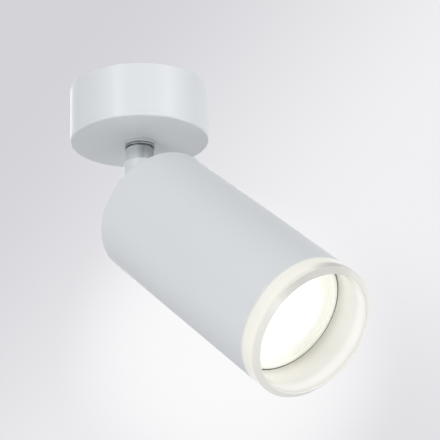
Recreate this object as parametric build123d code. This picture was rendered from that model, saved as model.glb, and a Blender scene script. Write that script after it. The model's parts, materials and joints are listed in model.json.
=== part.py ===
"""Surface mounted ceiling spotlight: cup, swivel stem, tilt fork, tube head and GU10 lamp.

Frame: origin at the centre of the cup's ceiling face, +Z up, sizes in millimetres.
The head leans towards +X, tilts about a pivot along Y and swivels about Z.
Pieces of the head are drawn along their own +Z, which runs forward from the pivot,
and are then laid over by the tilt that the spotlight rests at.
"""
from build123d import *
from math import sqrt
import os

os.makedirs("parts", exist_ok=True)

# ---------------------------------------------------------------- clearances
seat_gap = 0.05          # play round a piece in the hole or seat it is fitted in
running_gap = 0.05       # play of a fit that turns
free_gap = 0.3           # air between pieces that pass each other

# ------------------------------------------------------------- ceiling cup
cup_diameter = 60.0
cup_height = 24.0
cup_wall = 1.5
cup_floor = 2.0
cup_edge_radius = 0.9

# ----------------------------------------------------------- mounting plate
plate_play = 2.5         # between the plate's rim and the cup's wall
plate_thickness = 1.5
wire_hole_diameter = 18.0
slot_margin = 2.0        # from a ceiling slot's end to the plate's rim
slot_length = 10.0
slot_width = 4.5
lug_angle = 45.0         # round from +X, so both side screws sit at the cup's edges in front view
lug_width = 8.0
lug_drop = 11.0
lug_play = 1.2           # between a lug and the cup's wall
bend_radius = 1.0
side_screw_diameter = 3.0
side_screw_drop = 7.0
side_screw_inset = 0.5   # of the screw's outer end inside the cup's surface
side_screw_length = 5.0

# ------------------------------------------------------------- earth screw
earth_screw_diameter = 4.0
earth_screw_angle = -45.0
earth_screw_margin = 7.0     # from its axis to the plate's rim
earth_head_diameter = 7.6
earth_head_height = 2.6
earth_washer_diameter = 9.0
earth_washer_thickness = 0.8

# ----------------------------------------------------------- terminal block
pole_pitch = 9.0
pole_count = 3
pole_width = 7.0
block_depth = 13.0       # along the wires
block_body_height = 7.4
block_edge_radius = 1.4
block_corner_gap = 3.1   # along the wires, between the block's far corners and the cup's wall
web_width = 5.6
web_height = 3.4
turret_diameter = 5.2
turret_height = 2.4
turret_spacing = 6.4
sleeve_diameter = 4.4
sleeve_bore = 3.0
sleeve_length = 11.0
sleeve_cover = 0.7       # of the block under a sleeve
clamp_screw_diameter = 2.5
clamp_screw_length = 4.4
block_screw_diameter = 2.2
block_screw_head_diameter = 3.8
block_screw_head_height = 1.6

# ------------------------------------------------------------------ wiring
lead_diameter = 1.9
lead_circle = 1.35       # radius on which the leads lie in a bore
lead_drop = 6.6          # below the block's wires, where the leads turn down together
lead_bend = 2.6

# -------------------------------------------------------------- swivel stem
nipple_diameter = 10.0
stem_bore = 6.4
bush_wall = 1.0
bush_flange_diameter = 13.2
bush_flange_thickness = 1.7
spacer_diameter = 12.9
spacer_hub_diameter = 10.9
spacer_thickness = 1.5
spacer_groove = 0.35
neck_diameter = 12.0
neck_length = 6.5
fork_diameter = 14.0
pivot_drop = 26.5        # pivot below the cup's floor
fork_slot = 6.0
fork_across_flats = 10.8
fork_edge = 0.4
relief_length = 10.0     # opening above the tongue, where the leads leave the bore
nipple_flat = 4.2        # from the axis to the flat that keys the stop washer

# ---------------------------------------------------- swivel nut and its stop
stop_washer_diameter = 17.0
stop_washer_thickness = 1.0
stop_finger_reach = 11.2
stop_finger_width = 2.0
stop_pin_diameter = 1.6
stop_pin_circle = 10.3
stop_pin_height = 2.2
stop_pin_seat = 1.0
spring_washer_diameter = 15.0
spring_washer_thickness = 0.9
spring_washer_split = 0.8
thin_nut_across_flats = 14.0
thin_nut_thickness = 3.0
nipple_end = 1.2         # thread left above a nut

# -------------------------------------------------------------- pivot screw
pivot_diameter = 4.0
pivot_head_diameter = 7.0
pivot_head_height = 2.4
pivot_socket = 2.5
pivot_washer_diameter = 7.6
pivot_washer_thickness = 0.8
pivot_nut_across_flats = 7.0
pivot_nut_thickness = 2.6
friction_washer_diameter = 8.0
friction_washer_thickness = 0.4

# ------------------------------------------------------------------ knuckle
rest_tilt = 49.0         # of the head from straight down, as it is stored
tongue_radius = 4.2
tongue_waist = 1.8       # of the tongue on the side the leads pass
knuckle_diameter = 14.0
knuckle_height = 5.0
knuckle_edge = 0.5
knuckle_bore = 7.6
knuckle_bore_end = 3.0   # solid left under the tongue
lead_window_diameter = 4.2
lead_window_offset = 4.0

# --------------------------------------------------------------- head shell
body_wall = 1.2
body_length = 101.0
body_edge_radius = 0.9
body_seam = 0.3          # edges broken where tube and clear ring meet
rear_offset = 13.0       # pivot to the tube's rear end
cap_thickness = 3.0
cap_skirt_depth = 7.0
cap_skirt_wall = 2.0

# ----------------------------------------------------------------- clear ring
ring_projection = 7.9
ring_bevel_depth = 1.5
ring_wall = 1.45         # of the spigot that goes into the tube
ring_seat_depth = 8.0
ring_edge_radius = 0.35

# --------------------------------------------------- holder, bracket and tag
bracket_width = 14.0
bracket_thickness = 1.0
bracket_span = 32.0
bracket_foot = 8.5       # length of each turned-in foot
tag_diameter = 15.0
tag_thickness = 0.8
tag_tail_width = 4.6
tag_tail_reach = 13.0
tag_barrel_diameter = 3.6
tag_barrel_length = 6.0
holder_diameter = 28.0
holder_height = 15.0
holder_face_wall = 3.4
holder_pocket_depth = 8.0
holder_edge_radius = 0.8
holder_screw_circle = 22.0
holder_screw_diameter = 3.0
holder_screw_head_diameter = 5.4
holder_screw_head_height = 1.9
holder_screw_sink = 2.6
holder_nut_across_flats = 5.5
holder_nut_thickness = 2.4
contact_thickness = 0.6
contact_width = 3.0

# --------------------------------------------------------------- GU10 lamp
lamp_diameter = 50.0
lamp_play = 0.3          # between the lamp's rim and the bore of the clear ring
lamp_length = 47.0       # from its face to its base, pins left out
lamp_setback = 8.6       # of its face from the tube's front edge
lamp_bevel = 1.0
lamp_rim_height = 7.0
lamp_neck_diameter = 24.0
lamp_neck_length = 9.0
lamp_shoulder_diameter = 31.0
lamp_recess_diameter = 45.0
lamp_recess_depth = 5.0
lens_thickness = 1.6
lens_crown = 0.6
board_diameter = 43.0
board_thickness = 1.6
led_size = 2.8
led_height = 0.7
led_circle = 12.0
led_count = 8
rib_count = 12
rib_width = 1.2
rib_height = 1.4
pin_pitch = 10.0
pin_neck_diameter = 3.0
pin_head_diameter = 5.0
pin_neck_length = 4.0
pin_head_length = 3.0
lamp_turn = 22.0         # from locked to free

# ------------------------------------------------------------ worked-out places
cup_bottom = -cup_height
cup_floor_top = cup_bottom + cup_floor
cup_inner_radius = cup_diameter / 2 - cup_wall
plate_diameter = 2 * (cup_inner_radius - plate_play)
plate_under = -plate_thickness
slot_spacing = plate_diameter - 2 * slot_margin - slot_length
earth_screw_circle = plate_diameter / 2 - earth_screw_margin
block_half_width = (pole_count - 1) / 2 * pole_pitch + pole_width / 2
block_far_side = sqrt(cup_inner_radius ** 2 - block_half_width ** 2) - block_corner_gap
block_near_side = block_far_side - block_depth
wire_level = plate_under - block_body_height + sleeve_cover + sleeve_diameter / 2

bush_diameter = nipple_diameter + 2 * (running_gap + bush_wall)
spacer_top = cup_bottom - bush_flange_thickness - running_gap
neck_top = spacer_top - spacer_thickness
fork_top = neck_top - neck_length
pivot_level = cup_bottom - pivot_drop
fork_radius = fork_diameter / 2

stop_washer_under = cup_floor_top + running_gap
spring_washer_under = stop_washer_under + stop_washer_thickness
thin_nut_under = spring_washer_under + spring_washer_thickness
nipple_top = thin_nut_under + thin_nut_thickness + nipple_end

ring_bore = lamp_diameter + 2 * lamp_play
body_bore = ring_bore + 2 * (ring_wall + seat_gap)
body_diameter = body_bore + 2 * body_wall
body_front = rear_offset + body_length
cap_inside = rear_offset + cap_thickness
tag_under = cap_inside + bracket_thickness
knuckle_nut_under = tag_under + tag_thickness
spigot_end = knuckle_nut_under + thin_nut_thickness + nipple_end

lamp_face = body_front - lamp_setback
lamp_base = lamp_face - lamp_length
holder_front = lamp_base - free_gap
holder_back = holder_front - holder_height
bracket_under_foot = holder_back - bracket_thickness


# ------------------------------------------------------------------- helpers
def rod(diameter, low, high):
    """Upright cylinder on the Z axis between two heights."""
    on_base = (Align.CENTER, Align.CENTER, Align.MIN)
    return Pos(0, 0, low) * Cylinder(diameter / 2, high - low, align=on_base)


def tube(outer, bore, low, high):
    """Upright tube on the Z axis between two heights."""
    return rod(outer, low, high) - rod(bore, low, high)


def block(x_range, y_range, z_range):
    """Box between the given limits."""
    sides = [high - low for low, high in (x_range, y_range, z_range)]
    corner = (x_range[0], y_range[0], z_range[0])
    return Pos(*corner) * Box(*sides, align=(Align.MIN, Align.MIN, Align.MIN))


def turned(*profile):
    """Body of revolution about Z from (radius, height) points."""
    outline = Polyline(*[(radius, 0, height) for radius, height in profile], close=True)
    return revolve(make_face(outline), Axis.Z)


def hex_bar(across_flats, low, high):
    """Upright six-sided bar between two heights."""
    outline = RegularPolygon(across_flats / 2, 6, major_radius=False)
    return extrude(Pos(0, 0, low) * outline, high - low)


def hex_nut(across_flats, thread, low, high):
    """Hexagonal nut with its corners turned off at both ends."""
    bevel = across_flats * 0.08
    corner = across_flats / sqrt(3)
    barrel = turned(
        (0, low), (corner - bevel, low), (corner, low + bevel / 2),
        (corner, high - bevel / 2), (corner - bevel, high), (0, high),
    )
    return (hex_bar(across_flats, low, high) & barrel) - rod(thread + 2 * seat_gap, low, high)


def headed_screw(thread, length, head, head_height, socket):
    """Screw along Z with its head above zero and a six-sided socket in it."""
    crown = head * 0.12
    shape = turned(
        (0, -length), (thread / 2, -length), (thread / 2, 0), (head / 2, 0),
        (head / 2, head_height - crown), (head / 2 - crown, head_height), (0, head_height),
    )
    return shape - hex_bar(socket, head_height * 0.4, head_height)


def round_slot(length, width, thickness):
    """Upright cutter for a round-ended slot along X, length measured end to end."""
    return extrude(SlotOverall(length, width), thickness / 2, both=True)


def lead(points, radius):
    """Insulated lead along straight runs joined by arcs."""
    path = FilletPolyline(*points, radius=radius)
    return sweep(Plane(origin=path @ 0, z_dir=path % 0) * Circle(lead_diameter / 2), path=path)


def lead_place(number, count=pole_count):
    """Place of one lead among those that share a bore."""
    return Vector(lead_circle, 0, 0).rotate(Axis.Z, 90 + 360 / count * number)


def tilted(shape):
    """Carry a piece of the head from its own frame to its place at rest."""
    return Pos(0, 0, pivot_level) * Rot(0, 180 - rest_tilt, 0) * shape


def save(name, *pieces):
    """Write one node as a STEP file of separate solids."""
    solids = [solid for piece in pieces for solid in piece.solids()]
    shape = solids[0] if len(solids) == 1 else Compound(solids)
    shape.label = name
    export_step(shape, f"parts/{name}.step")


# --------------------------------------------------------------- ceiling side
def side_screw_bore(diameter):
    """Pair of cutters for the screws that go through the cup's wall."""
    span = cup_diameter / 2 + 1
    bore = Pos(0, 0, -side_screw_drop) * Rot(0, 90, 0) * Cylinder(diameter / 2, 2 * span)
    return Rot(0, 0, lug_angle) * bore


def make_cup():
    """Turned ceiling cup, open towards the ceiling."""
    shell = rod(cup_diameter, cup_bottom, 0)
    shell = fillet(shell.edges().group_by(Axis.Z)[0], cup_edge_radius)
    shell -= rod(2 * cup_inner_radius, cup_floor_top, 0)
    shell -= rod(bush_diameter + 2 * seat_gap, cup_bottom, cup_floor_top)
    shell -= side_screw_bore(side_screw_diameter + 2 * seat_gap)
    pin_seat = rod(stop_pin_diameter + 2 * seat_gap, cup_floor_top - stop_pin_seat, cup_floor_top)
    return shell - Pos(-stop_pin_circle, 0, 0) * pin_seat


def make_lug():
    """Turned-down lug of the mounting plate, drawn towards +X."""
    outer = cup_inner_radius - lug_play
    inner = outer - plate_thickness
    root = wire_hole_diameter / 2 + 1
    strip = Polyline(
        (root, 0, 0), (outer, 0, 0), (outer, 0, -lug_drop), (inner, 0, -lug_drop),
        (inner, 0, plate_under), (root, 0, plate_under), close=True,
    )
    lug = extrude(make_face(strip), lug_width / 2, both=True)
    bend = lug.edges().filter_by(Axis.Y).group_by(Axis.X)[-1].group_by(Axis.Z)[-1]
    lug = fillet(bend, bend_radius + plate_thickness / 2)
    bore = Pos(0, 0, -side_screw_drop) * Rot(0, 90, 0)
    return lug - bore * Cylinder(side_screw_diameter / 2 + seat_gap, 2 * outer)


def earth_place():
    """Centre of the earth screw on the mounting plate."""
    return Rot(0, 0, earth_screw_angle) * Pos(earth_screw_circle, 0, 0)


def block_screw_places():
    """Centres of the screws that hold the terminal block, between its poles."""
    middle = block_near_side + block_depth / 2
    return [Pos(side * pole_pitch / 2, middle, 0) for side in (-1, 1)]


def make_plate():
    """Pressed mounting plate with two ceiling slots, a wire hole and two lugs."""
    plate = rod(plate_diameter, plate_under, 0)
    for quarter in (lug_angle, lug_angle + 180):
        plate += Rot(0, 0, quarter) * make_lug()
    plate -= rod(wire_hole_diameter, plate_under, 0)
    for side in (-1, 1):
        slot = round_slot(slot_length, slot_width, 4 * plate_thickness)
        plate -= Pos(side * slot_spacing / 2, 0, 0) * slot
    plate -= earth_place() * rod(earth_screw_diameter + 2 * seat_gap, plate_under, 0)
    for place in block_screw_places():
        plate -= place * rod(block_screw_diameter + 2 * seat_gap, plate_under, 0)
    return plate


def make_side_screws():
    """Two socket set screws that lock the cup to the plate's lugs."""
    tip = cup_diameter / 2 - side_screw_inset
    screw = rod(side_screw_diameter, tip - side_screw_length, tip)
    screw -= hex_bar(side_screw_diameter / 2, tip - side_screw_length * 0.4, tip)
    laid = Pos(0, 0, -side_screw_drop) * Rot(0, 90, 0) * screw
    return [Rot(0, 0, turn) * laid for turn in (lug_angle, lug_angle + 180)]


def make_earth_screw():
    """Earth screw, driven up into the plate from below."""
    seat = plate_under - earth_washer_thickness
    length = -seat - seat_gap
    socket = earth_screw_diameter * 0.6
    screw = headed_screw(earth_screw_diameter, length, earth_head_diameter, earth_head_height, socket)
    return earth_place() * Pos(0, 0, seat) * Rot(180, 0, 0) * screw


def make_earth_washer():
    """Cupped washer that traps the earth wire."""
    washer = tube(
        earth_washer_diameter, earth_screw_diameter + 2 * seat_gap,
        plate_under - earth_washer_thickness, plate_under,
    )
    return earth_place() * washer


def pole_places():
    """Centres of the terminal block's poles, at the level of its wires."""
    middle = block_near_side + block_depth / 2
    first = -(pole_count - 1) / 2 * pole_pitch
    return [Pos(first + number * pole_pitch, middle, wire_level) for number in range(pole_count)]


def turret_places():
    """Centres of the clamp screws."""
    return [place * Pos(0, side * turret_spacing / 2, 0) for place in pole_places() for side in (-1, 1)]


def make_terminal_block():
    """Moulded terminal block: one barrel for each pole, joined by a web under the plate."""
    under = plate_under - block_body_height
    half = pole_width / 2
    middle = block_near_side + block_depth / 2
    reach = block_half_width - half
    web_sides = (middle - web_width / 2, middle + web_width / 2)
    shape = block((-reach, reach), web_sides, (plate_under - web_height, plate_under))
    for place in pole_places():
        x = place.position.X
        barrel = block((x - half, x + half), (block_near_side, block_far_side), (under, plate_under))
        lower = barrel.edges().filter_by(Axis.Y).group_by(Axis.Z)[0]
        shape += fillet(lower, block_edge_radius)
    for place in turret_places():
        spot = Pos(place.position.X, place.position.Y, 0)
        shape += spot * rod(turret_diameter, under - turret_height, under + 1)
    for place in pole_places():
        shape -= place * Rot(90, 0, 0) * Cylinder(sleeve_diameter / 2 + seat_gap, block_depth)
    for place in turret_places():
        spot = Pos(place.position.X, place.position.Y, 0)
        shape -= spot * rod(clamp_screw_diameter + 4 * seat_gap, under - turret_height, wire_level)
    web_under = plate_under - web_height
    for place in block_screw_places():
        shape -= place * rod(block_screw_diameter + 2 * seat_gap, web_under, plate_under)
        shape -= place * rod(block_screw_head_diameter + 2 * seat_gap, under, web_under)
    return shape


def make_terminal_sleeves():
    """Brass sleeve of each pole, bored for the wires and tapped for its two screws."""
    sleeves = []
    for place in pole_places():
        sleeve = tube(sleeve_diameter, sleeve_bore, -sleeve_length / 2, sleeve_length / 2)
        sleeve = place * Rot(90, 0, 0) * sleeve
        for side in (-1, 1):
            hole = rod(clamp_screw_diameter + 2 * seat_gap, -sleeve_diameter, 0)
            sleeve -= place * Pos(0, side * turret_spacing / 2, 0) * hole
        sleeves.append(sleeve)
    return sleeves


def make_clamp_screws():
    """Slotted screws that clamp the wires, two to a pole."""
    tip = -sleeve_bore / 2 + lead_diameter / 2 - clamp_screw_diameter / 4
    foot = tip - clamp_screw_length
    screw = rod(clamp_screw_diameter, foot, tip)
    screw -= block((-clamp_screw_diameter, clamp_screw_diameter), (-0.25, 0.25), (foot, foot + 0.8))
    return [place * screw for place in turret_places()]


def make_block_screws():
    """Screws that hold the terminal block up against the plate."""
    length = web_height + plate_thickness - seat_gap
    screw = headed_screw(
        block_screw_diameter, length, block_screw_head_diameter, block_screw_head_height,
        block_screw_diameter * 0.6,
    )
    under_web = Pos(0, 0, plate_under - web_height) * Rot(180, 0, 0)
    return [place * under_web * screw for place in block_screw_places()]


def make_supply_leads():
    """Leads from the terminal block down into the stem's bore."""
    leads = []
    entry = block_near_side + (block_depth - sleeve_length) / 2 + turret_diameter / 2
    order = (1, 0, 2)
    for number, place in zip(order, pole_places()):
        spot = lead_place(number)
        turn_level = wire_level - lead_drop
        route = [
            (place.position.X, entry, wire_level),
            (place.position.X, block_near_side - lead_bend - 1, wire_level),
            (spot.X, spot.Y, turn_level),
            (spot.X, spot.Y, fork_top),
        ]
        leads.append(lead(route, lead_bend))
    return leads


def make_bush():
    """Flanged bush that the stem turns in, pressed into the cup's floor."""
    flange_under = cup_bottom - bush_flange_thickness
    bush = rod(bush_diameter, cup_bottom, cup_floor_top)
    flange = rod(bush_flange_diameter, flange_under, cup_bottom)
    bush += flange
    bore = nipple_diameter + 2 * running_gap
    return bush - rod(bore, flange_under, cup_floor_top)


def make_stop_pin():
    """Pin in the cup's floor that the stop washer's finger runs against."""
    pin = rod(stop_pin_diameter, cup_floor_top - stop_pin_seat, cup_floor_top + stop_pin_height)
    return Pos(-stop_pin_circle, 0, 0) * pin


# ------------------------------------------------------------------ stem side
def keyed(shape):
    """Cut the nipple's round and its flat out of a washer."""
    hole = rod(nipple_diameter + 2 * seat_gap, neck_top, nipple_top)
    side = fork_diameter
    hole -= block((-side, -nipple_flat - seat_gap), (-side, side), (neck_top, nipple_top))
    return shape - hole


def make_stem():
    """Swivel stem: threaded nipple, neck and a fork whose slot is closed behind the tongue."""
    stem = rod(nipple_diameter, neck_top, nipple_top)
    stem = chamfer(stem.edges().group_by(Axis.Z)[-1], fork_edge)
    side = fork_diameter
    stem -= block((-side, -nipple_flat), (-side, side), (cup_floor_top, nipple_top))
    neck = rod(neck_diameter, fork_top, neck_top)
    stem += chamfer(neck.edges().group_by(Axis.Z)[-1], fork_edge)
    fork = rod(fork_diameter, pivot_level - fork_radius, fork_top)
    fork = chamfer(fork.edges().group_by(Axis.Z)[-1], fork_edge)
    at_pivot = Pos(0, 0, pivot_level) * Rot(90, 0, 0)
    envelope = at_pivot * Cylinder(fork_radius, fork_diameter)
    envelope += block((-side, side), (-side, side), (pivot_level, fork_top))
    fork = fork & envelope
    shoulder = pivot_level + fork_radius
    for face in (-1, 1):
        cut = block((-side, side), (fork_across_flats / 2, side), (pivot_level - side, shoulder))
        fork -= Rot(0, 0, 90 * (1 - face)) * cut
    stem += fork
    slot_radius = tongue_radius + free_gap
    half = fork_slot / 2
    slot = at_pivot * Cylinder(slot_radius, fork_slot)
    slot += block((-slot_radius, side), (-half, half), (pivot_level - side, pivot_level))
    slot += block((0, side), (-half, half), (pivot_level, pivot_level + relief_length))
    stem -= slot
    stem -= rod(stem_bore, pivot_level + slot_radius - 1, nipple_top)
    return stem - at_pivot * Cylinder(pivot_diameter / 2 + seat_gap, fork_diameter)


def make_spacer():
    """Turned spacer between the bush and the neck, with a rim that stands in its own grooves."""
    hub = rod(spacer_hub_diameter, neck_top, spacer_top)
    rim = rod(spacer_diameter, neck_top + spacer_groove, spacer_top - spacer_groove)
    return hub + rim - rod(nipple_diameter + 2 * seat_gap, neck_top, spacer_top)


def make_stop_washer():
    """Keyed washer whose finger meets the stop pin."""
    low = stop_washer_under
    high = low + stop_washer_thickness
    washer = rod(stop_washer_diameter, low, high)
    half = stop_finger_width / 2
    washer += block((0, stop_finger_reach), (-half, half), (low, high))
    return keyed(washer)


def make_spring_washer():
    """Split spring washer under the swivel nut."""
    low = spring_washer_under
    high = low + spring_washer_thickness
    washer = tube(spring_washer_diameter, nipple_diameter + 2 * seat_gap, low, high)
    half = spring_washer_split / 2
    return washer - block((0, spring_washer_diameter), (-half, half), (low, high))


def make_swivel_nut():
    """Thin nut that holds the stem up in the cup."""
    high = thin_nut_under + thin_nut_thickness
    return hex_nut(thin_nut_across_flats, nipple_diameter, thin_nut_under, high)


def across_pivot(shape):
    """Lay a piece drawn along Z onto the pivot, its Z towards -Y."""
    return Pos(0, 0, pivot_level) * Rot(90, 0, 0) * shape


def make_pivot_screw():
    """Socket screw through both ears of the fork."""
    half = fork_across_flats / 2
    length = 2 * half + pivot_washer_thickness + pivot_nut_thickness + free_gap
    screw = headed_screw(pivot_diameter, length, pivot_head_diameter, pivot_head_height, pivot_socket)
    return across_pivot(Pos(0, 0, half) * screw)


def make_pivot_washer():
    """Washer under the pivot nut."""
    high = -fork_across_flats / 2
    washer = tube(
        pivot_washer_diameter, pivot_diameter + 2 * seat_gap, high - pivot_washer_thickness, high
    )
    return across_pivot(washer)


def make_pivot_nut():
    """Nut that sets how stiffly the head tilts."""
    high = -fork_across_flats / 2 - pivot_washer_thickness
    low = high - pivot_nut_thickness
    return across_pivot(hex_nut(pivot_nut_across_flats, pivot_diameter, low, high))


def make_friction_washers():
    """Two thin washers between the ears and the tongue."""
    half = fork_slot / 2
    washers = []
    for side in (-1, 1):
        inner = half - friction_washer_thickness
        washer = tube(friction_washer_diameter, pivot_diameter + 2 * seat_gap, inner, half)
        washers.append(across_pivot(Rot(90 - 90 * side, 0, 0) * washer))
    return washers


# ------------------------------------------------------------------ head side
def make_knuckle():
    """Tongue, round foot and threaded spigot, with a window for the leads."""
    thickness = fork_slot - 2 * (friction_washer_thickness + running_gap)
    foot_top = rear_offset - knuckle_height
    half = thickness / 2
    tongue = Rot(90, 0, 0) * Cylinder(tongue_radius, thickness)
    tongue += block((-tongue_waist, tongue_radius), (-half, half), (0, foot_top + knuckle_edge))
    foot = rod(knuckle_diameter, foot_top, rear_offset)
    foot = chamfer(foot.edges().group_by(Axis.Z)[0], knuckle_edge)
    spigot = rod(nipple_diameter, rear_offset, spigot_end)
    spigot = chamfer(spigot.edges().group_by(Axis.Z)[-1], fork_edge)
    shape = tongue + foot + spigot
    shape -= Rot(90, 0, 0) * Cylinder(pivot_diameter / 2 + running_gap, fork_diameter)
    shape -= rod(knuckle_bore, foot_top + knuckle_bore_end, spigot_end)
    window = rod(lead_window_diameter, foot_top, rear_offset - knuckle_edge)
    return shape - Pos(-lead_window_offset, 0, 0) * window


def make_body_tube():
    """Drawn tube with softened ends."""
    shell = tube(body_diameter, body_bore, rear_offset, body_front)
    rear_rim = shell.edges().group_by(Axis.Z)[0].sort_by(SortBy.LENGTH)[-1]
    shell = fillet(rear_rim, body_edge_radius)
    front_rim = shell.edges().group_by(Axis.Z)[-1].sort_by(SortBy.LENGTH)[-1]
    return chamfer(front_rim, body_seam)


def make_rear_cap():
    """Cap pressed into the tube's rear end, with a skirt inside."""
    diameter = body_bore - 2 * seat_gap
    cap = rod(diameter, rear_offset, rear_offset + cap_skirt_depth)
    cap -= rod(diameter - 2 * cap_skirt_wall, cap_inside, rear_offset + cap_skirt_depth)
    return cap - rod(nipple_diameter + 2 * seat_gap, rear_offset, cap_inside)


def make_bracket():
    """Bent strip that stands on the cap and carries the lamp holder on two feet."""
    outer = bracket_span / 2
    inner = outer - bracket_thickness
    foot_end = outer - bracket_foot
    half_outline = [
        (0, cap_inside), (outer, cap_inside), (outer, holder_back), (foot_end, holder_back),
        (foot_end, bracket_under_foot), (inner, bracket_under_foot),
        (inner, cap_inside + bracket_thickness), (0, cap_inside + bracket_thickness),
    ]
    outline = Polyline(*[(x, 0, z) for x, z in half_outline], close=True)
    half = extrude(make_face(outline), bracket_width / 2, both=True)
    bends = half.edges().filter_by(Axis.Y).group_by(Axis.X)[-1]
    half = fillet(bends, bend_radius)
    strip = half + mirror(half, Plane.YZ)
    strip -= rod(nipple_diameter + 2 * seat_gap, cap_inside, cap_inside + bracket_thickness)
    for place in holder_screw_places():
        strip -= place * rod(holder_screw_diameter + 2 * seat_gap, bracket_under_foot, holder_back)
    return strip


def make_earth_tag():
    """Ring tag under the knuckle nut, with its tail and crimp barrel turned up."""
    high = tag_under + tag_thickness
    half = tag_tail_width / 2
    tag = rod(tag_diameter, tag_under, high)
    tag += block((-half, half), (0, tag_tail_reach), (tag_under, high))
    barrel_place = Pos(0, tag_tail_reach - half, 0)
    tag += barrel_place * rod(tag_barrel_diameter, tag_under, high + tag_barrel_length)
    tag -= barrel_place * rod(lead_diameter + 2 * seat_gap, high, high + tag_barrel_length)
    return tag - rod(nipple_diameter + 2 * seat_gap, tag_under, high)


def make_knuckle_nut():
    """Thin nut that clamps the knuckle, cap, bracket and tag together."""
    high = knuckle_nut_under + thin_nut_thickness
    return hex_nut(thin_nut_across_flats, nipple_diameter, knuckle_nut_under, high)


def holder_screw_places():
    """Centres of the lamp holder's screws."""
    return [Pos(side * holder_screw_circle / 2, 0, 0) for side in (-1, 1)]


def key_slot(width, start, sweep_angle, low, high):
    """Cutter along the path of one lamp pin, its centre line an arc about Z."""
    path = CenterArc((0, 0), pin_pitch / 2, start, sweep_angle)
    return extrude(Pos(0, 0, low) * SlotArc(path, width), high - low)


def make_lamp_holder():
    """Ceramic lamp holder with keyhole slots over two turning pockets."""
    holder = rod(holder_diameter, holder_back, holder_front)
    holder = fillet(holder.edges().filter_by(GeomType.CIRCLE), holder_edge_radius)
    pocket_top = holder_front - holder_face_wall
    pocket_floor = pocket_top - holder_pocket_depth
    head_width = pin_head_diameter + 2 * free_gap
    neck_width = pin_neck_diameter + 2 * free_gap
    for start in (90, 270):
        holder -= key_slot(neck_width, start, lamp_turn, pocket_top, holder_front)
        holder -= key_slot(head_width, start, lamp_turn, pocket_floor, pocket_top)
        entry = Rot(0, 0, start + lamp_turn) * Pos(pin_pitch / 2, 0, 0)
        holder -= entry * rod(head_width, pocket_top, holder_front)
        exit_way = Rot(0, 0, start) * Pos(pin_pitch / 2, 0, 0)
        holder -= exit_way * rod(lead_diameter + 2 * seat_gap, holder_back, pocket_floor)
    for place in holder_screw_places():
        holder -= place * rod(holder_screw_diameter + 2 * seat_gap, holder_back, holder_front)
        sunk = holder_screw_head_diameter + 2 * seat_gap
        holder -= place * rod(sunk, holder_front - holder_screw_sink, holder_front)
    return holder


def make_contacts():
    """Sprung contact strips at the bottom of the pockets."""
    pocket_floor = holder_front - holder_face_wall - holder_pocket_depth
    pin_end = lamp_base - pin_neck_length - pin_head_length
    contacts = []
    half = contact_width / 2
    middle = pin_pitch / 2
    for start in (0, 180):
        low = pin_end - free_gap - contact_thickness
        leaf = block((-half, half), (middle - half, middle + half), (low, low + contact_thickness))
        foot_sides = (middle + half - contact_thickness, middle + half)
        foot = block((-half, half), foot_sides, (pocket_floor, low + contact_thickness))
        contacts.append(Rot(0, 0, start) * (leaf + foot))
    return contacts


def make_holder_screws():
    """Screws that hold the lamp holder on the bracket's feet."""
    seat = holder_front - holder_screw_sink
    length = seat - bracket_under_foot + holder_nut_thickness + free_gap
    screw = headed_screw(
        holder_screw_diameter, length, holder_screw_head_diameter, holder_screw_head_height,
        holder_screw_diameter * 0.7,
    )
    return [place * Pos(0, 0, seat) * screw for place in holder_screw_places()]


def make_holder_nuts():
    """Nuts under the bracket's feet."""
    low = bracket_under_foot - holder_nut_thickness
    nut = hex_nut(holder_nut_across_flats, holder_screw_diameter, low, bracket_under_foot)
    return [place * nut for place in holder_screw_places()]


def make_lamp_leads():
    """Leads in the head: two to the holder and one to the earth tag."""
    start_level = rear_offset - knuckle_height + knuckle_bore_end + seat_gap
    gather = spigot_end + lead_bend
    pocket_floor = holder_front - holder_face_wall - holder_pocket_depth
    leads = []
    for number, side in ((1, -1), (2, 1)):
        spot = lead_place(number)
        end = side * pin_pitch / 2
        reach = holder_back - 2 * lead_bend
        route = [
            (spot.X, spot.Y, start_level),
            (spot.X, spot.Y, gather),
            (0, end, reach),
            (0, end, pocket_floor),
        ]
        leads.append(lead(route, lead_bend))
    spot = lead_place(0)
    barrel = tag_tail_reach - tag_tail_width / 2
    top = gather + 2 * lead_bend
    route = [
        (spot.X, spot.Y, start_level),
        (spot.X, spot.Y, top),
        (0, barrel, top),
        (0, barrel, tag_under + tag_thickness),
    ]
    leads.append(lead(route, lead_bend))
    return leads


def make_ring():
    """Frosted acrylic ring: a spigot in the tube and a lip with a bevelled front."""
    bore = ring_bore / 2
    spigot = body_bore / 2 - seat_gap
    rear = body_front - ring_seat_depth
    outer_edge = body_front + ring_projection
    nose = outer_edge + ring_bevel_depth
    lip = body_diameter / 2
    return turned(
        (bore, rear), (spigot, rear), (spigot, body_front), (lip - body_seam, body_front),
        (lip, body_front + body_seam), (lip, outer_edge), (bore + ring_edge_radius, nose),
        (bore, nose - ring_edge_radius),
    )


# ----------------------------------------------------------------------- lamp
def flare_radius(height):
    """Radius of the lamp's flared shell at a height above its base."""
    low = lamp_neck_length
    high = lamp_length - lamp_rim_height
    share = (height - low) / (high - low)
    return lamp_shoulder_diameter / 2 + share * (lamp_diameter - lamp_shoulder_diameter) / 2


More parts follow.
